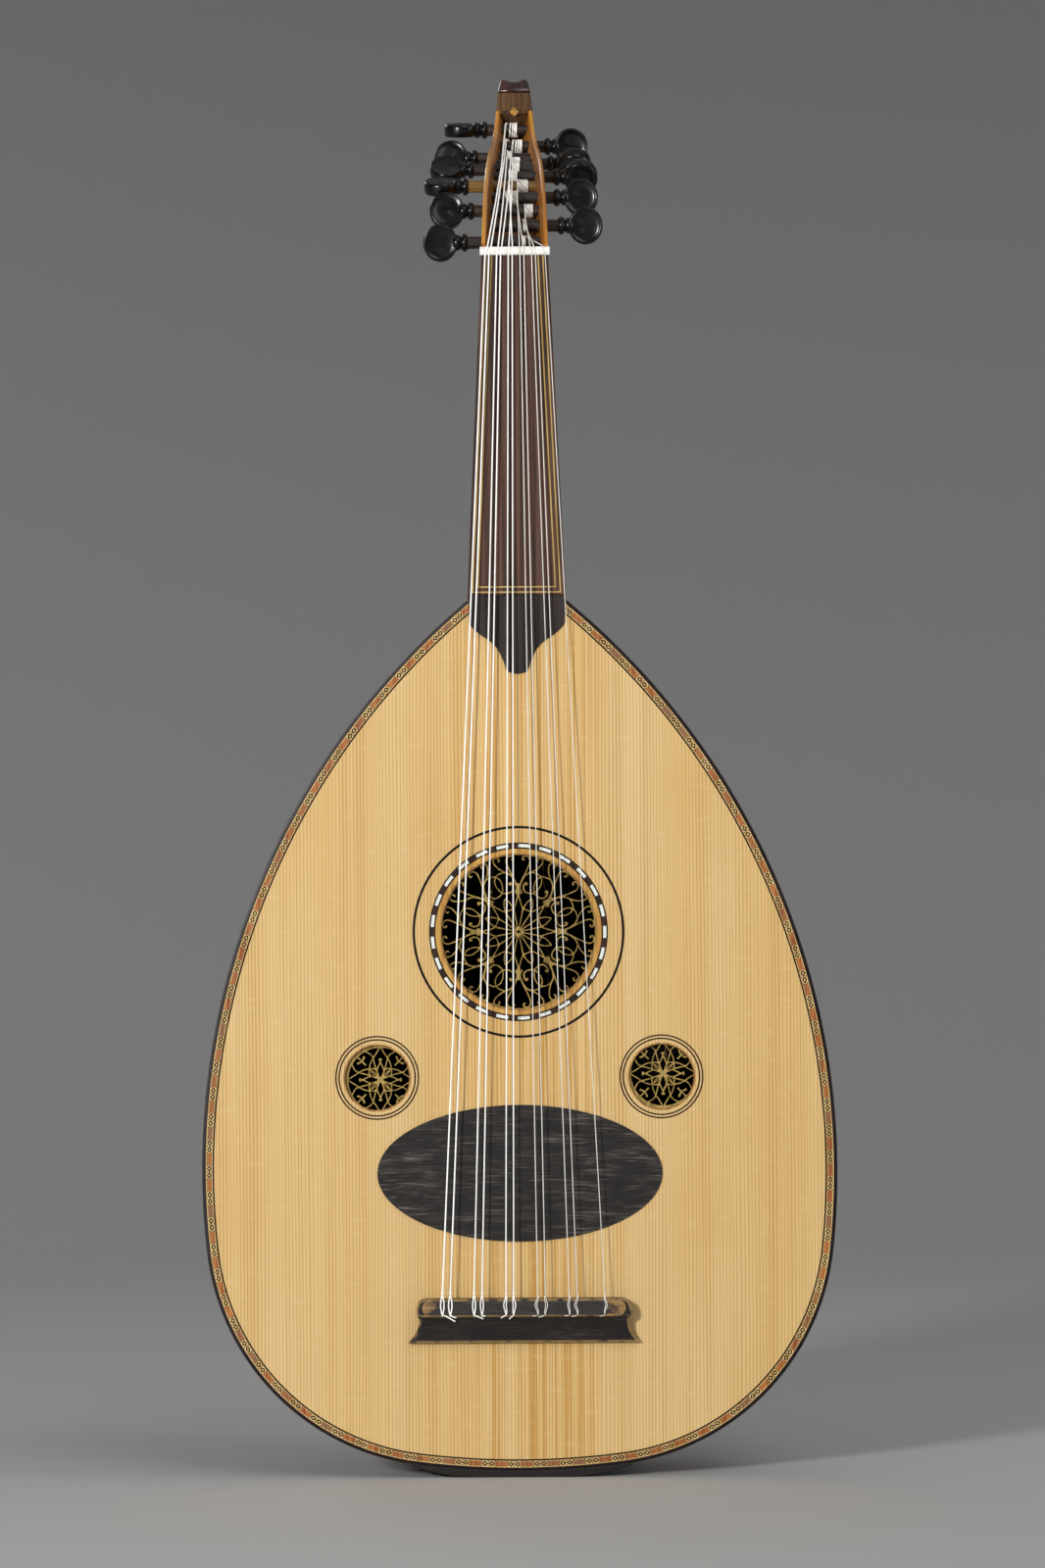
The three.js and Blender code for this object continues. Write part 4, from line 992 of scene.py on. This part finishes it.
def build_bridge():
    """A tie bar with round ends over a skirt that hollows down to the face and flares to two points."""
    low, high = cad_range("bridge")
    foot, top_z, bottom_z, front = high.x, high.z, low.z, low.y
    behind_bar = front + 0.35
    bar_top, bar_z, bar_half = top_z - 0.7, top_z - 9.6, 56.8
    right = [(foot, bottom_z)]
    right += bezier(right[-1], (foot - 5, bottom_z + 4), (58.4, bar_z - 6), (58.6, bar_z - 1.5), 12)
    right += bezier(right[-1], (60.8, bar_z + 1), (60.6, bar_z + 4.5), (58.6, top_z - 2), 8)
    right += bezier(right[-1], (57.4, top_z - 0.5), (55.5, top_z), (53, top_z), 6)
    outline = [(x + BRIDGE_SHIFT, z) for x, z in right + mirrored(right)]
    body = plate("bridge_body", [outline], behind_bar, FACE_Y - behind_bar, "bridge_wood", "bridge")

    profile = [(front - 4, bar_z), (front + 0.2, bar_z)]
    pulls = (front + 2.8, bar_z - 0.6), (front + 4.2, bottom_z + 7)
    profile += bezier(profile[-1], *pulls, (FACE_Y - 3.0, bottom_z - 2), 12)
    profile.append((front - 4, bottom_z - 2))
    hollow = Solids()
    hollow.loft([[(x, y, z) for y, z in profile] for x in (-foot - 5, foot + 5)])
    cutter = link("bridge_cutter", hollow.mesh("bridge_cutter"))
    cut = body.modifiers.new("hollow", "BOOLEAN")
    cut.operation = "DIFFERENCE"
    cut.solver = "EXACT"
    cut.object = cutter
    shaped = finished_mesh(body)
    body.modifiers.clear()
    body.data = shaped
    smooth_faces(shaped, 30)
    bpy.data.objects.remove(cutter)
    round_edges(body, 0.45)

    radius = (bar_top - bar_z) / 2
    middle = bar_top - radius
    bar = arc((BRIDGE_SHIFT + bar_half - radius, middle), radius, -math.pi / 2, math.pi / 2, 16)
    bar += arc((BRIDGE_SHIFT - bar_half + radius, middle), radius, math.pi / 2, 1.5 * math.pi, 16)
    plate("bridge_tie_bar", [bar], front - 0.25, 1.2, "tie_bar", edge=0.35)


def build_tongue():
    """The fingerboard's pointed end on the soundboard: shoulders, two hollow flanks and a small round tip."""
    low, high = cad_range("fingerboard_tongue")
    half, tip = high.x, low.z
    right = [(half, high.z), (half, tip + 28.5)]
    right += bezier(right[-1], (half - 0.5, tip + 26), (20.5, tip + 21.5), (17, tip + 19.5), 6)
    right += bezier(right[-1], (13.5, tip + 17), (10.6, tip + 14.5), (8.8, tip + 9.5), 8)
    right += bezier(right[-1], (6.6, tip + 6), (7, tip + 2.2), (4.8, tip + 1), 6)
    right += bezier(right[-1], (3, tip + 0.1), (1.5, tip), (0, tip), 5)
    loop = right + mirrored(right[:-1])
    node = "fingerboard_tongue"
    plate(node + "_veneer", [loop], low.y, high.y - low.y + 0.1, "tongue_wood", node, edge=0.15)


# ---- Neck ----


def neck_half_width(z):
    share = (z - NECK_JOINT_Z) / (NUT_Z - NECK_JOINT_Z)
    return NECK_ROOT_HALF_WIDTH + (NECK_TOP_HALF_WIDTH - NECK_ROOT_HALF_WIDTH) * share


def build_neck():
    """Half-round under the fingerboard; its top end is cut square to the pegbox's root."""
    body_end = NECK_JOINT_Z + 0.3
    root_depth = BOWL_FRONT_Y + NECK_ROOT_HALF_WIDTH - NECK_FRONT_Y
    steps, length_steps = 32, 24
    rings = []
    for i in range(length_steps + 1):
        share = i / length_steps
        depth = root_depth + (NECK_TOP_DEPTH - VENEER - root_depth) * share
        ring = []
        for k in range(steps + 1):
            angle = math.pi * k / steps
            y = NECK_FRONT_Y + depth * math.sin(angle)
            top = MITRE_TOP_Z - 0.3 / math.cos(ROOT_TILT) - (y - FACE_Y) * math.tan(ROOT_TILT)
            z = body_end + (top - body_end) * share
            ring.append((neck_half_width(min(z, NUT_Z)) * math.cos(angle), y, z))
        rings.append(ring)
    lofted("neck_half_round", rings, "neck_wood", "neck", edge=0.3)


def build_fingerboard():
    """A tapered plate with two inlaid lines along each side, joined across near the body."""
    front = FACE_Y - VENEER
    corners = [(-1, FINGERBOARD_START_Z), (1, FINGERBOARD_START_Z), (1, NUT_Z), (-1, NUT_Z)]
    loop = [(side * neck_half_width(z), z) for side, z in corners]
    thickness = FINGERBOARD_THICKNESS - 0.05
    plate("fingerboard_plate", [loop], front, thickness, "fingerboard_wood", "fingerboard", edge=0.3)

    lines = Solids()
    line_width, back = 0.75, front + 0.5

    def add_line(ends, proud):
        """A strip whose ends are each given by the (x, z) of its two edges."""
        y = front - proud
        rings = []
        for (x1, z1), (x2, z2) in ends:
            rings.append([(x1, y, z1), (x2, y, z2), (x2, back, z2), (x1, back, z1)])
        lines.loft(rings)

    for inset, end_z in ((2.6, 494.9), (5.3, 497.8)):
        low_x, high_x = neck_half_width(end_z) - inset, neck_half_width(NUT_Z) - inset
        places = ((low_x, end_z), (high_x, NUT_Z))
        for side in (-1, 1):
            add_line([[(side * x, z), (side * (x - line_width), z)] for x, z in places], 0.08)
        add_line([[(x, end_z), (x, end_z + line_width)] for x in (-low_x, low_x)], 0.081)
    lines.piece("fingerboard_lines", "maple_line")


def build_nut():
    """Bone bar with a rounded front edge and a slot under each string."""
    low, high = cad_range("nut")
    slot_spare, slot_depth, eased_length = 0.1, 0.45, 0.6
    slots = [(string["nut_x"], string["radius"]) for string in STRINGS]
    xs = {low.x, high.x}
    for x, radius in slots:
        xs |= {x - radius - 0.15, x - radius * 0.6, x, x + radius * 0.6, x + radius + 0.15}
    rings = []
    for x in sorted(xs):
        sink = 0.0
        for slot_x, radius in slots:
            reach = abs(x - slot_x)
            if reach < radius + slot_spare:
                sink = slot_depth * math.sqrt(max(0.0, 1 - (reach / (radius + slot_spare)) ** 2))
        end = min(x - low.x, high.x - x)
        ease = 0.25 * max(0.0, 1 - end / eased_length)
        front = low.y + sink + ease
        rings.append([
            (x, front + 0.9, low.z), (x, front + 0.25, low.z + 0.3), (x, front, low.z + 1.1),
            (x, front, high.z - 1.6), (x, front + 0.3, high.z - 0.5), (x, front + 1.2, high.z),
            (x, high.y, high.z), (x, high.y, low.z),
        ])
    lofted("nut_bone", rings, "bone", "nut", smooth=50)


# ---- Pegbox ----

BACKWARD_RADIUS = BACKWARD_ARC / (MIDDLE_TILT - ROOT_TILT)
FORWARD_RADIUS = FORWARD_ARC / (MIDDLE_TILT - TIP_TILT)


def tilt_at(along):
    if along < BACKWARD_ARC:
        return ROOT_TILT + along / BACKWARD_RADIUS
    return MIDDLE_TILT - (along - BACKWARD_ARC) / FORWARD_RADIUS


def pegbox_point(x, depth, along):
    """A point behind the pegbox's front edge, which bends backward and then forward."""
    tilt = tilt_at(along)
    first = tilt_at(min(along, BACKWARD_ARC - 1e-9))
    y = FACE_Y + BACKWARD_RADIUS * (math.cos(ROOT_TILT) - math.cos(first))
    z = MITRE_TOP_Z + BACKWARD_RADIUS * (math.sin(first) - math.sin(ROOT_TILT))
    if along > BACKWARD_ARC:
        y += FORWARD_RADIUS * (math.cos(tilt) - math.cos(MIDDLE_TILT))
        z += FORWARD_RADIUS * (math.sin(MIDDLE_TILT) - math.sin(tilt))
    return x, y + depth * math.cos(tilt), z - depth * math.sin(tilt)


def pegbox_half_width(along):
    root_half, taper, extra_taper = 18.6, 2.75, 6.95
    share = along / PEGBOX_LENGTH
    return root_half - taper * share - extra_taper * share**2


def pegbox_depth(along):
    root_depth, tip_depth = 24, 19
    return root_depth + (tip_depth - root_depth) * along / PEGBOX_LENGTH


def pegbox_piece(name, rings, look, node=None, **settings):
    """A solid from rings of (x, depth, distance along the box), with the grain following the box."""
    solids = Solids()
    solids.loft_placed(rings, pegbox_point)
    solids.piece(name, look, node, **settings)


def box_rings(start, end, step, section):
    """Rings along the box from a cross-section of (x, depth) corners that depends on where it is."""
    return [[(x, depth, along) for x, depth in section(along)] for along in steps_between(start, end, step)]


def build_pegbox():
    """Two cheeks that grow thicker towards the back, so their inner walls can be seen from the front. A thin
    skin of darker cheek wood over each inner wall is painted shade.
    """
    end = CAP_START - 0.3

    def walls(along):
        """The box's depth, and its half width outside, inside at the front and inside at the back."""
        outer = pegbox_half_width(along)
        return pegbox_depth(along), outer, outer - CHEEK_FRONT, outer - CHEEK_BACK

    for side, label in ((-1, "bass"), (1, "treble")):

        def cheek(along, side=side):
            depth, outer, front, back = walls(along)
            corners = [(front, 0.35), (front + 0.35, 0), (outer - 0.5, 0), (outer, 0.5)]
            return [(side * x, d) for x, d in corners + [(outer, depth), (back, depth)]]

        # Painted shade: a thin skin of darker cheek wood over the inner wall.
        def shade_skin(along, side=side):
            depth, _, front, back = walls(along)
            corners = [(front + 0.1, 1.0), (front - 0.3, 1.0), (back - 0.12, depth), (back + 0.1, depth)]
            return [(side * x, d) for x, d in corners]

        node = f"pegbox_cheek_{label}"
        pegbox_piece(node + "_board", box_rings(0, end, 3, cheek), "cheek_wood", node)
        pegbox_piece(f"pegbox_shade_skin_{label}", box_rings(0.5, END_BLOCK_START, 3, shade_skin), "cheek_painted_shade")

    def back(along):
        half = pegbox_half_width(along)
        front = pegbox_depth(along) + 0.3
        rear = front + BACK_PLATE
        right = [(half, front), (half, rear - 1.2), (half - 1.2, rear - 0.3), (half - 3, rear)]
        return [(-half, front)] + right + mirrored(right[1:])

    def block(along):
        depth, _, front, rear = walls(along)
        return [(0.1 - front, 0.2), (front - 0.1, 0.2), (rear - 0.1, depth), (0.1 - rear, depth)]

    def block_face(along):
        half = pegbox_half_width(along) + 0.02
        right = [(half - 0.5, -0.6), (half, -0.2), (half, 0.6)]
        left = mirrored(right)
        return left[1:] + right + left[:1]

    pegbox_piece("pegbox_back_board", box_rings(0, end, 3, back), "pegbox_back", "pegbox_back")
    rings = box_rings(END_BLOCK_START, end, 2, block)
    pegbox_piece("pegbox_end_block_wood", rings, "end_block", "pegbox_end_block", edge=0.4)
    pegbox_piece("pegbox_end_face", box_rings(END_BLOCK_START + 1, end, 2, block_face), "end_block", edge=0.2)


def build_lip():
    """Small carved point under the end block, coloured gold as a painted highlight on the block's lower edge.
    """
    rings = []
    for share in steps_between(0, 1, 1 / 8):
        along = END_BLOCK_START + 2.6 - 5.4 * share
        half = 3.0 * math.cos(share * math.pi / 2) ** 0.7 + 0.1
        thick = 1.3 - 0.8 * share
        rings.append([(half * math.cos(a), 0.5 + thick * math.sin(a), along) for a in around(12)])
    pegbox_piece("pegbox_end_lip", rings, "lip_gold_highlight", smooth=60)


def build_cap():
    """Polished cap with two round horns, its front and rear edges rolled over."""
    half = pegbox_half_width(CAP_START)
    right = [(half + 0.1, CAP_START - 0.2), (half - 0.35, CAP_START + 2.2)]
    horn = (half - 1.0, CAP_START + 5.2), (half - 1.2, CAP_START + 9.1), (half - 2.9, CAP_START + 8.9)
    saddle = (half - 4.6, CAP_START + 8.9), (half - 4.2, CAP_START + 7.1), (0, CAP_START + 7.3)
    right += bezier(right[-1], *horn, 7)
    right += bezier(right[-1], *saddle, 8)
    outline = right + mirrored(right[:-1])
    rear = pegbox_depth(CAP_START) + 0.3 + BACK_PLATE
    centre_along = CAP_START + 3.5
    shells = [
        (-1.9, 1.9), (-1.7, 1.1), (-1.2, 0.4), (-0.4, 0), (4, 0), (9, 0), (15, 0),
        (rear - 2.5, 0.1), (rear - 0.8, 0.5), (rear, 1.4),
    ]
    rings = []
    for depth, shrink in shells:
        ring = []
        for x, along in outline:
            scale = 1 - shrink / (math.hypot(x, along - centre_along) or 1)
            ring.append((x * scale, depth, centre_along + (along - centre_along) * scale))
        rings.append(ring)
    pegbox_piece("pegbox_cap_block", rings, "cap_wood", "pegbox_cap", smooth=60)


# ---- Pegs ----


def peg_along(index):
    """A peg's distance from the pegbox's root."""
    return FIRST_PEG + PEG_SPACING * index


def peg_place(index):
    joint = next(j for j in frame["joints"] if j["name"] == f"peg_{index + 1:02d}_turn")
    return [value / MM for value in joint["pos_m"]]


# (radius, distance from the cheek's outside) of the collar and flared neck between shaft and thumb disc.
COLLARS = [
    (0.05, 7.8), (3.6, 7.8), (3.9, 8.0), (4.5, 8.4), (5.0, 9.1), (5.08, 9.8), (4.95, 10.6), (4.5, 11.1),
    (3.7, 11.35), (3.4, 11.6), (3.5, 11.9), (4.0, 12.4), (4.4, 13.1), (4.6, 13.9), (4.4, 15), (3.6, 16.4),
    (0.05, 16.4),
]
# (share of the disc's half width, thickness) over the front of a disc that is dished inside a rolled rim.
DISC_FRONT = [
    (0.995, 2.0), (0.96, 3.3), (0.91, 3.7), (0.86, 3.6), (0.8, 3.2), (0.7, 2.9), (0.45, 2.75), (0.005, 2.7)
]
DISC_HALF_LENGTH = 9.75
DISC_HALF_HEIGHT = 10.7


def build_peg(index):
    """A tapered shaft with a turned collar and flared neck, and an oval thumb disc."""
    side = -1 if index % 2 == 0 else 1
    turn = PEG_TURNS_DEG[index] * DEG
    _, centre_y, centre_z = peg_place(index)
    cheek_x = pegbox_half_width(peg_along(index))
    base = cheek_x - PEG_PUSHES[index]
    body = f"peg_{index + 1:02d}"

    def set_in_place(x, y, z):
        """From the peg's own axes, head towards +X and disc facing forward, to its place."""
        y, z = y * math.cos(turn) - z * math.sin(turn), y * math.sin(turn) + z * math.cos(turn)
        if side < 0:
            x, y = -x, -y
        return x, centre_y + y, centre_z + z

    def add(name, rings, look, smooth, node=None):
        solids = Solids()
        solids.loft_placed(rings, set_in_place, shift=60 * index, closed=True)
        solids.piece(f"{body}_{name}", look, node, body=body, smooth=smooth)

    def turned(profile):
        return [[(x, r * math.cos(a), r * math.sin(a)) for r, x in profile] for a in around(32)]

    shaft = [
        (0.05, -cheek_x + 0.1), (2.4, -cheek_x + 0.1), (2.9, -cheek_x + 0.6), (3.0, -cheek_x + CHEEK_AT_PEG),
        (3.45, cheek_x - CHEEK_AT_PEG), (3.5, base + 6.6), (3.55, base + 8), (0.05, base + 8),
    ]
    add("shaft", turned(shaft), "peg_shaft_pale" if index == PALE_PEG else "peg_shaft", 40, body)
    add("collars", turned([(radius, base + x) for radius, x in COLLARS]), "ebony", 70)

    rim = [(reach, -thick) for reach, thick in DISC_FRONT][::-1] + [(1, 0)] + DISC_FRONT
    disc_x = base + 23.4
    rings = []
    for angle in around(56):
        toward_shaft = max(0.0, -math.cos(angle))
        rings.append([
            (
                disc_x + DISC_HALF_LENGTH * reach * math.cos(angle),
                thick * (1 - 0.12 * toward_shaft**3),
                DISC_HALF_HEIGHT * reach * math.sin(angle),
            )
            for reach, thick in rim
        ])
    add("head", rings, "ebony", 80)


# ---- Strings ----


def string_list():
    """Where each string lies, bass first: five pairs and a single."""
    strings = []
    for course, diameter in enumerate(COURSE_DIAMETERS):
        single = course == len(COURSE_DIAMETERS) - 1
        for half in (0,) if single else (-0.5, 0.5):
            bridge_x, nut_x = (x + step * course + pair * half for x, step, pair in (AT_BRIDGE, AT_NUT))
            shape = dict(zip(SHAPE_NAMES, STRING_SHAPES[len(strings)]))
            strings.append({"radius": diameter / 2, "bridge_x": bridge_x, "nut_x": nut_x, **shape})
    return strings


STRINGS = string_list()


def taut_run(start, peg_index, stand_off):
    """The shortest way, as (y, z), from the nut to a peg that clears the fronts of the pegs before it."""
    spare = 1.4

    def bends_back(a, b, c):
        return (b[0] - a[0]) * (c[1] - a[1]) - (b[1] - a[1]) * (c[0] - a[0]) > 0

    run = [start]
    for i in range(peg_index + 1):
        clearance = stand_off + (spare if i < peg_index else 0)
        along = peg_along(i)
        following = pegbox_point(0, PEG_DEPTH_SHARE * pegbox_depth(along) - clearance, along)[1:]
        while len(run) > 1 and bends_back(run[-2], run[-1], following):
            run.pop()
        run.append(following)
    return run


def build_string(number):
    """The string from its knot at the bridge over the nut to its peg, and the winding, which turns with the
    peg."""
    string = STRINGS[number]
    radius = STRING_SCALE * string["radius"]
    peg_index = PEG_COUNT - 1 - number
    tilt = tilt_at(peg_along(peg_index))
    _, centre_y, centre_z = peg_place(peg_index)
    look = "wound_string" if number < WOUND_STRINGS else "nylon_string"
    name = f"string_{number + 1:02d}"

    nut_height, slot_depth, drawn_together = 2.2, 0.25, 0.91
    stand_off = SHAFT_RADIUS + radius + 0.1
    width = string["coil_end"] - string["coil_start"]
    pitch = 2.04 * radius
    turns = abs(width) / pitch * (1 - string["gap"])
    layers = 1 if turns > 3 else 2
    nut_y = FACE_Y - nut_height - radius + slot_depth
    nut_end = (nut_y, NUT_Z + NUT_LENGTH)
    run = taut_run(nut_end, peg_index, stand_off + 0.5)
    layers_radii = 2.1 if layers == 1 else 3.9
    outside = stand_off + layers_radii * radius
    run[-1] = (centre_y - outside * math.cos(tilt), centre_z + outside * math.sin(tilt))
    end_x = drawn_together * string["nut_x"]
    path = []
    for y, z in run:
        left = (run[-1][0] - y) / (run[-1][0] - nut_end[0])
        path.append((string["coil_start"] + (end_x - string["coil_start"]) * left**2, y, z))
    start = (string["bridge_x"], FACE_Y - 7.0, cad_range("bridge")[1].z + 3.0)
    over_nut = [(string["nut_x"], nut_y, NUT_Z), (string["nut_x"] * 0.955, nut_y, NUT_Z + NUT_LENGTH / 2)]
    line = Solids()
    line.tube([start] + over_nut + path, radius, 10)
    tie_at_bridge(line, string, start)
    line.piece(name + "_line", look, name, smooth=60)

    steps_per_turn = 20
    steps = round(turns * layers * steps_per_turn)
    points = []
    for i in range(steps + 1):
        angle = math.pi - tilt - FULL_TURN * i / steps_per_turn
        share = layers * i / steps
        second_layer = max(0.0, min(1.0, (share - 1) * 6))
        across = share if share <= 1 else 2 - share
        x = string["coil_start"] + width * across ** (1 - string["gap"]) + rng.uniform(-0.03, 0.03)
        reach = stand_off + 1.8 * radius * second_layer + 0.06 * math.sin(across * 9 + number)
        points.append((x, centre_y + reach * math.cos(angle), centre_z + reach * math.sin(angle)))
    winding = Solids()
    winding.tube(points, radius)
    winding.piece(name + "_winding", look, body=f"peg_{peg_index + 1:02d}", smooth=60)


def tie_at_bridge(solids, string, start):
    """The string passes under the tie bar, comes back over its front and ends in a short tail."""
    low, high = cad_range("bridge")
    radius = TIE_SCALE * string["radius"]
    x, start_y, start_z = start
    front = low.y - 0.45 - radius
    top_z, hole_z = high.z + 2.6, high.z - 9.4
    steps, knot_steps = 8, 16
    for side in (-1, 1):
        path = [start]
        for i in range(steps + 1):
            share = i / steps
            bulge = math.sin(math.pi * share)
            aside = side * string["spread"] * bulge + string["lean"] * bulge * math.cos(FULL_TURN * share)
            y = front if 0.12 < share < 0.88 else front + 0.9
            path.append((x + aside, y, top_z + (hole_z - top_z) * share))
        path.append((x, low.y + 1.8, hole_z - 0.3))
        solids.tube(smooth_path(path, 3), radius)
    tail = [
        (x, low.y + 0.8, hole_z + 0.4),
        (x + string["tail"] * 0.3, front + 0.3, hole_z - 0.1),
        (x + string["tail"], front + 1.2, hole_z + string["drop"]),
    ]
    solids.tube(smooth_path(tail, 4), radius)
    knot = []
    for i in range(knot_steps + 1):
        angle = FULL_TURN * i / knot_steps
        across, back = (radius + 0.25) * math.cos(angle), (radius + 0.2) * math.sin(angle)
        knot.append((x + across, start_y + back, start_z - 0.2 + 0.4 * i / knot_steps))
    solids.tube(knot, radius * 0.8)


# ---- Hidden structure ----


def finish_hidden():
    """Blocks and braces keep their CAD shape and get bare wood."""
    for name in ["neck_block", "tail_block"] + [f"brace_{i}" for i in range(1, 5)]:
        node = frame["nodes"][name]
        node.data.materials.clear()
        node.data.materials.append(LOOKS["raw_spruce"])


# ---- Stage, in metres ----


def sheet_material():
    """Grey paper with a painted pool of light, paler near the middle, and painted shade, darker up the wall;
    it can't be seen from behind.
    """
    recipe = Recipe("studio_sheet")
    away = recipe.vector_math("LENGTH", recipe.place, (0, 0, 0), "Value")
    paper = recipe.noise((300, 300, 300), detail=2)
    # Painted pool of light: paler near the middle of the floor.
    base = recipe.mix(recipe.ramp(away, 0.3, 2.2), "AEAEAE", "9E9E9E")
    # Painted shade: darker up the wall.
    base = recipe.mix(recipe.ramp(recipe.along_axis(2), 0.0, 1.8, smooth=False), base, "808080")
    base = recipe.mix(recipe.times(paper, 0.06), base, "9C9C9C")
    front = recipe.node("BsdfPrincipled", {"Base Color": base, "Roughness": 0.9, "Specular IOR Level": 0.1})
    clear = recipe.node("BsdfTransparent", {})
    behind = recipe.node("NewGeometry", {}, "Backfacing")
    recipe.node("OutputMaterial", {"Surface": recipe.node("MixShader", {0: behind, 1: front, 2: clear})})
    return recipe.material


def build_stage():
    """Pale round floor that sweeps up into a wall all round."""
    wall_radius, sweep, top, curve_steps, turn_steps = 3.6, 2.2, 3.4, 24, 96
    profile = [(0.001, 0.0)]
    for i in range(curve_steps + 1):
        angle = math.pi / 2 * i / curve_steps
        profile.append((wall_radius - sweep + sweep * math.sin(angle), sweep - sweep * math.cos(angle)))
    profile.append((wall_radius, top))
    points = [(r * math.cos(a), r * math.sin(a), z) for r, z in profile for a in around(turn_steps)]
    faces = [tuple(range(turn_steps))]
    for low in range(0, len(points) - turn_steps, turn_steps):
        high = low + turn_steps
        for k in range(turn_steps):
            beside = (k + 1) % turn_steps
            faces.append((low + k, high + k, high + beside, low + beside))
    mesh = bpy.data.meshes.new("studio_sheet")
    mesh.from_pydata(points, [], faces)
    mesh.materials.append(sheet_material())
    mesh.polygons.foreach_set("use_smooth", [True] * len(mesh.polygons))
    link("studio_sheet", mesh)


def area_light(name, place, width, height, power):
    """A rectangular light that shines on the middle of the instrument."""
    middle = Vector((0, 0, 0.35))
    light = bpy.data.lights.new(name, "AREA")
    light.shape = "RECTANGLE"
    light.size, light.size_y = width, height
    light.energy = power
    lamp = link(name, light)
    lamp.location = place
    lamp.rotation_mode = "QUATERNION"
    lamp.rotation_quaternion = (middle - Vector(place)).to_track_quat("-Z", "Y")


def build_lights():
    area_light("key", (-1.5, -2.5, 1.0), 0.4, 0.4, 67)
    area_light("front_fill", (1.2, -2.1, 2.6), 1.8, 1.8, 21)
    area_light("right_rim", (2.4, -0.4, 1.0), 0.9, 1.6, 18)
    area_light("behind_left", (-2.0, 3.0, 1.6), 1.6, 1.6, 42)
    world = bpy.data.worlds.new("studio")
    world.use_nodes = True
    background = world.node_tree.nodes["Background"].inputs
    background["Color"].default_value = (1, 1, 1, 1)
    background["Strength"].default_value = 0.3
    bpy.context.scene.world = world


def build_camera():
    """Level camera in front of the soundboard, turned a little about its line of sight."""
    distance, view_height, height, aside, roll = 3.2, 0.8773, 0.3879, 0.0027, 0.32 * DEG
    camera = bpy.data.cameras.new("camera")
    camera.sensor_width = 36
    camera.lens = camera.sensor_width * distance / view_height
    camera.clip_start, camera.clip_end = 0.05, 50
    holder = link("camera", camera)
    holder.location = (aside, FACE_Y * MM - distance, height)
    holder.rotation_euler = (math.pi / 2, roll, 0)
    bpy.context.scene.camera = holder
    bpy.context.scene.view_settings.view_transform = "Standard"


# ---- Assembly ----

build_ribs()
build_clasp()
build_soundboard()
build_border()
build_rings()
build_roses()
build_pick_guard()
build_bridge()
build_tongue()
build_neck()
build_fingerboard()
build_nut()
build_pegbox()
build_lip()
build_cap()
for peg_index in range(PEG_COUNT):
    build_peg(peg_index)
for string_number in range(len(STRINGS)):
    build_string(string_number)
finish_hidden()
build_stage()
build_lights()
build_camera()
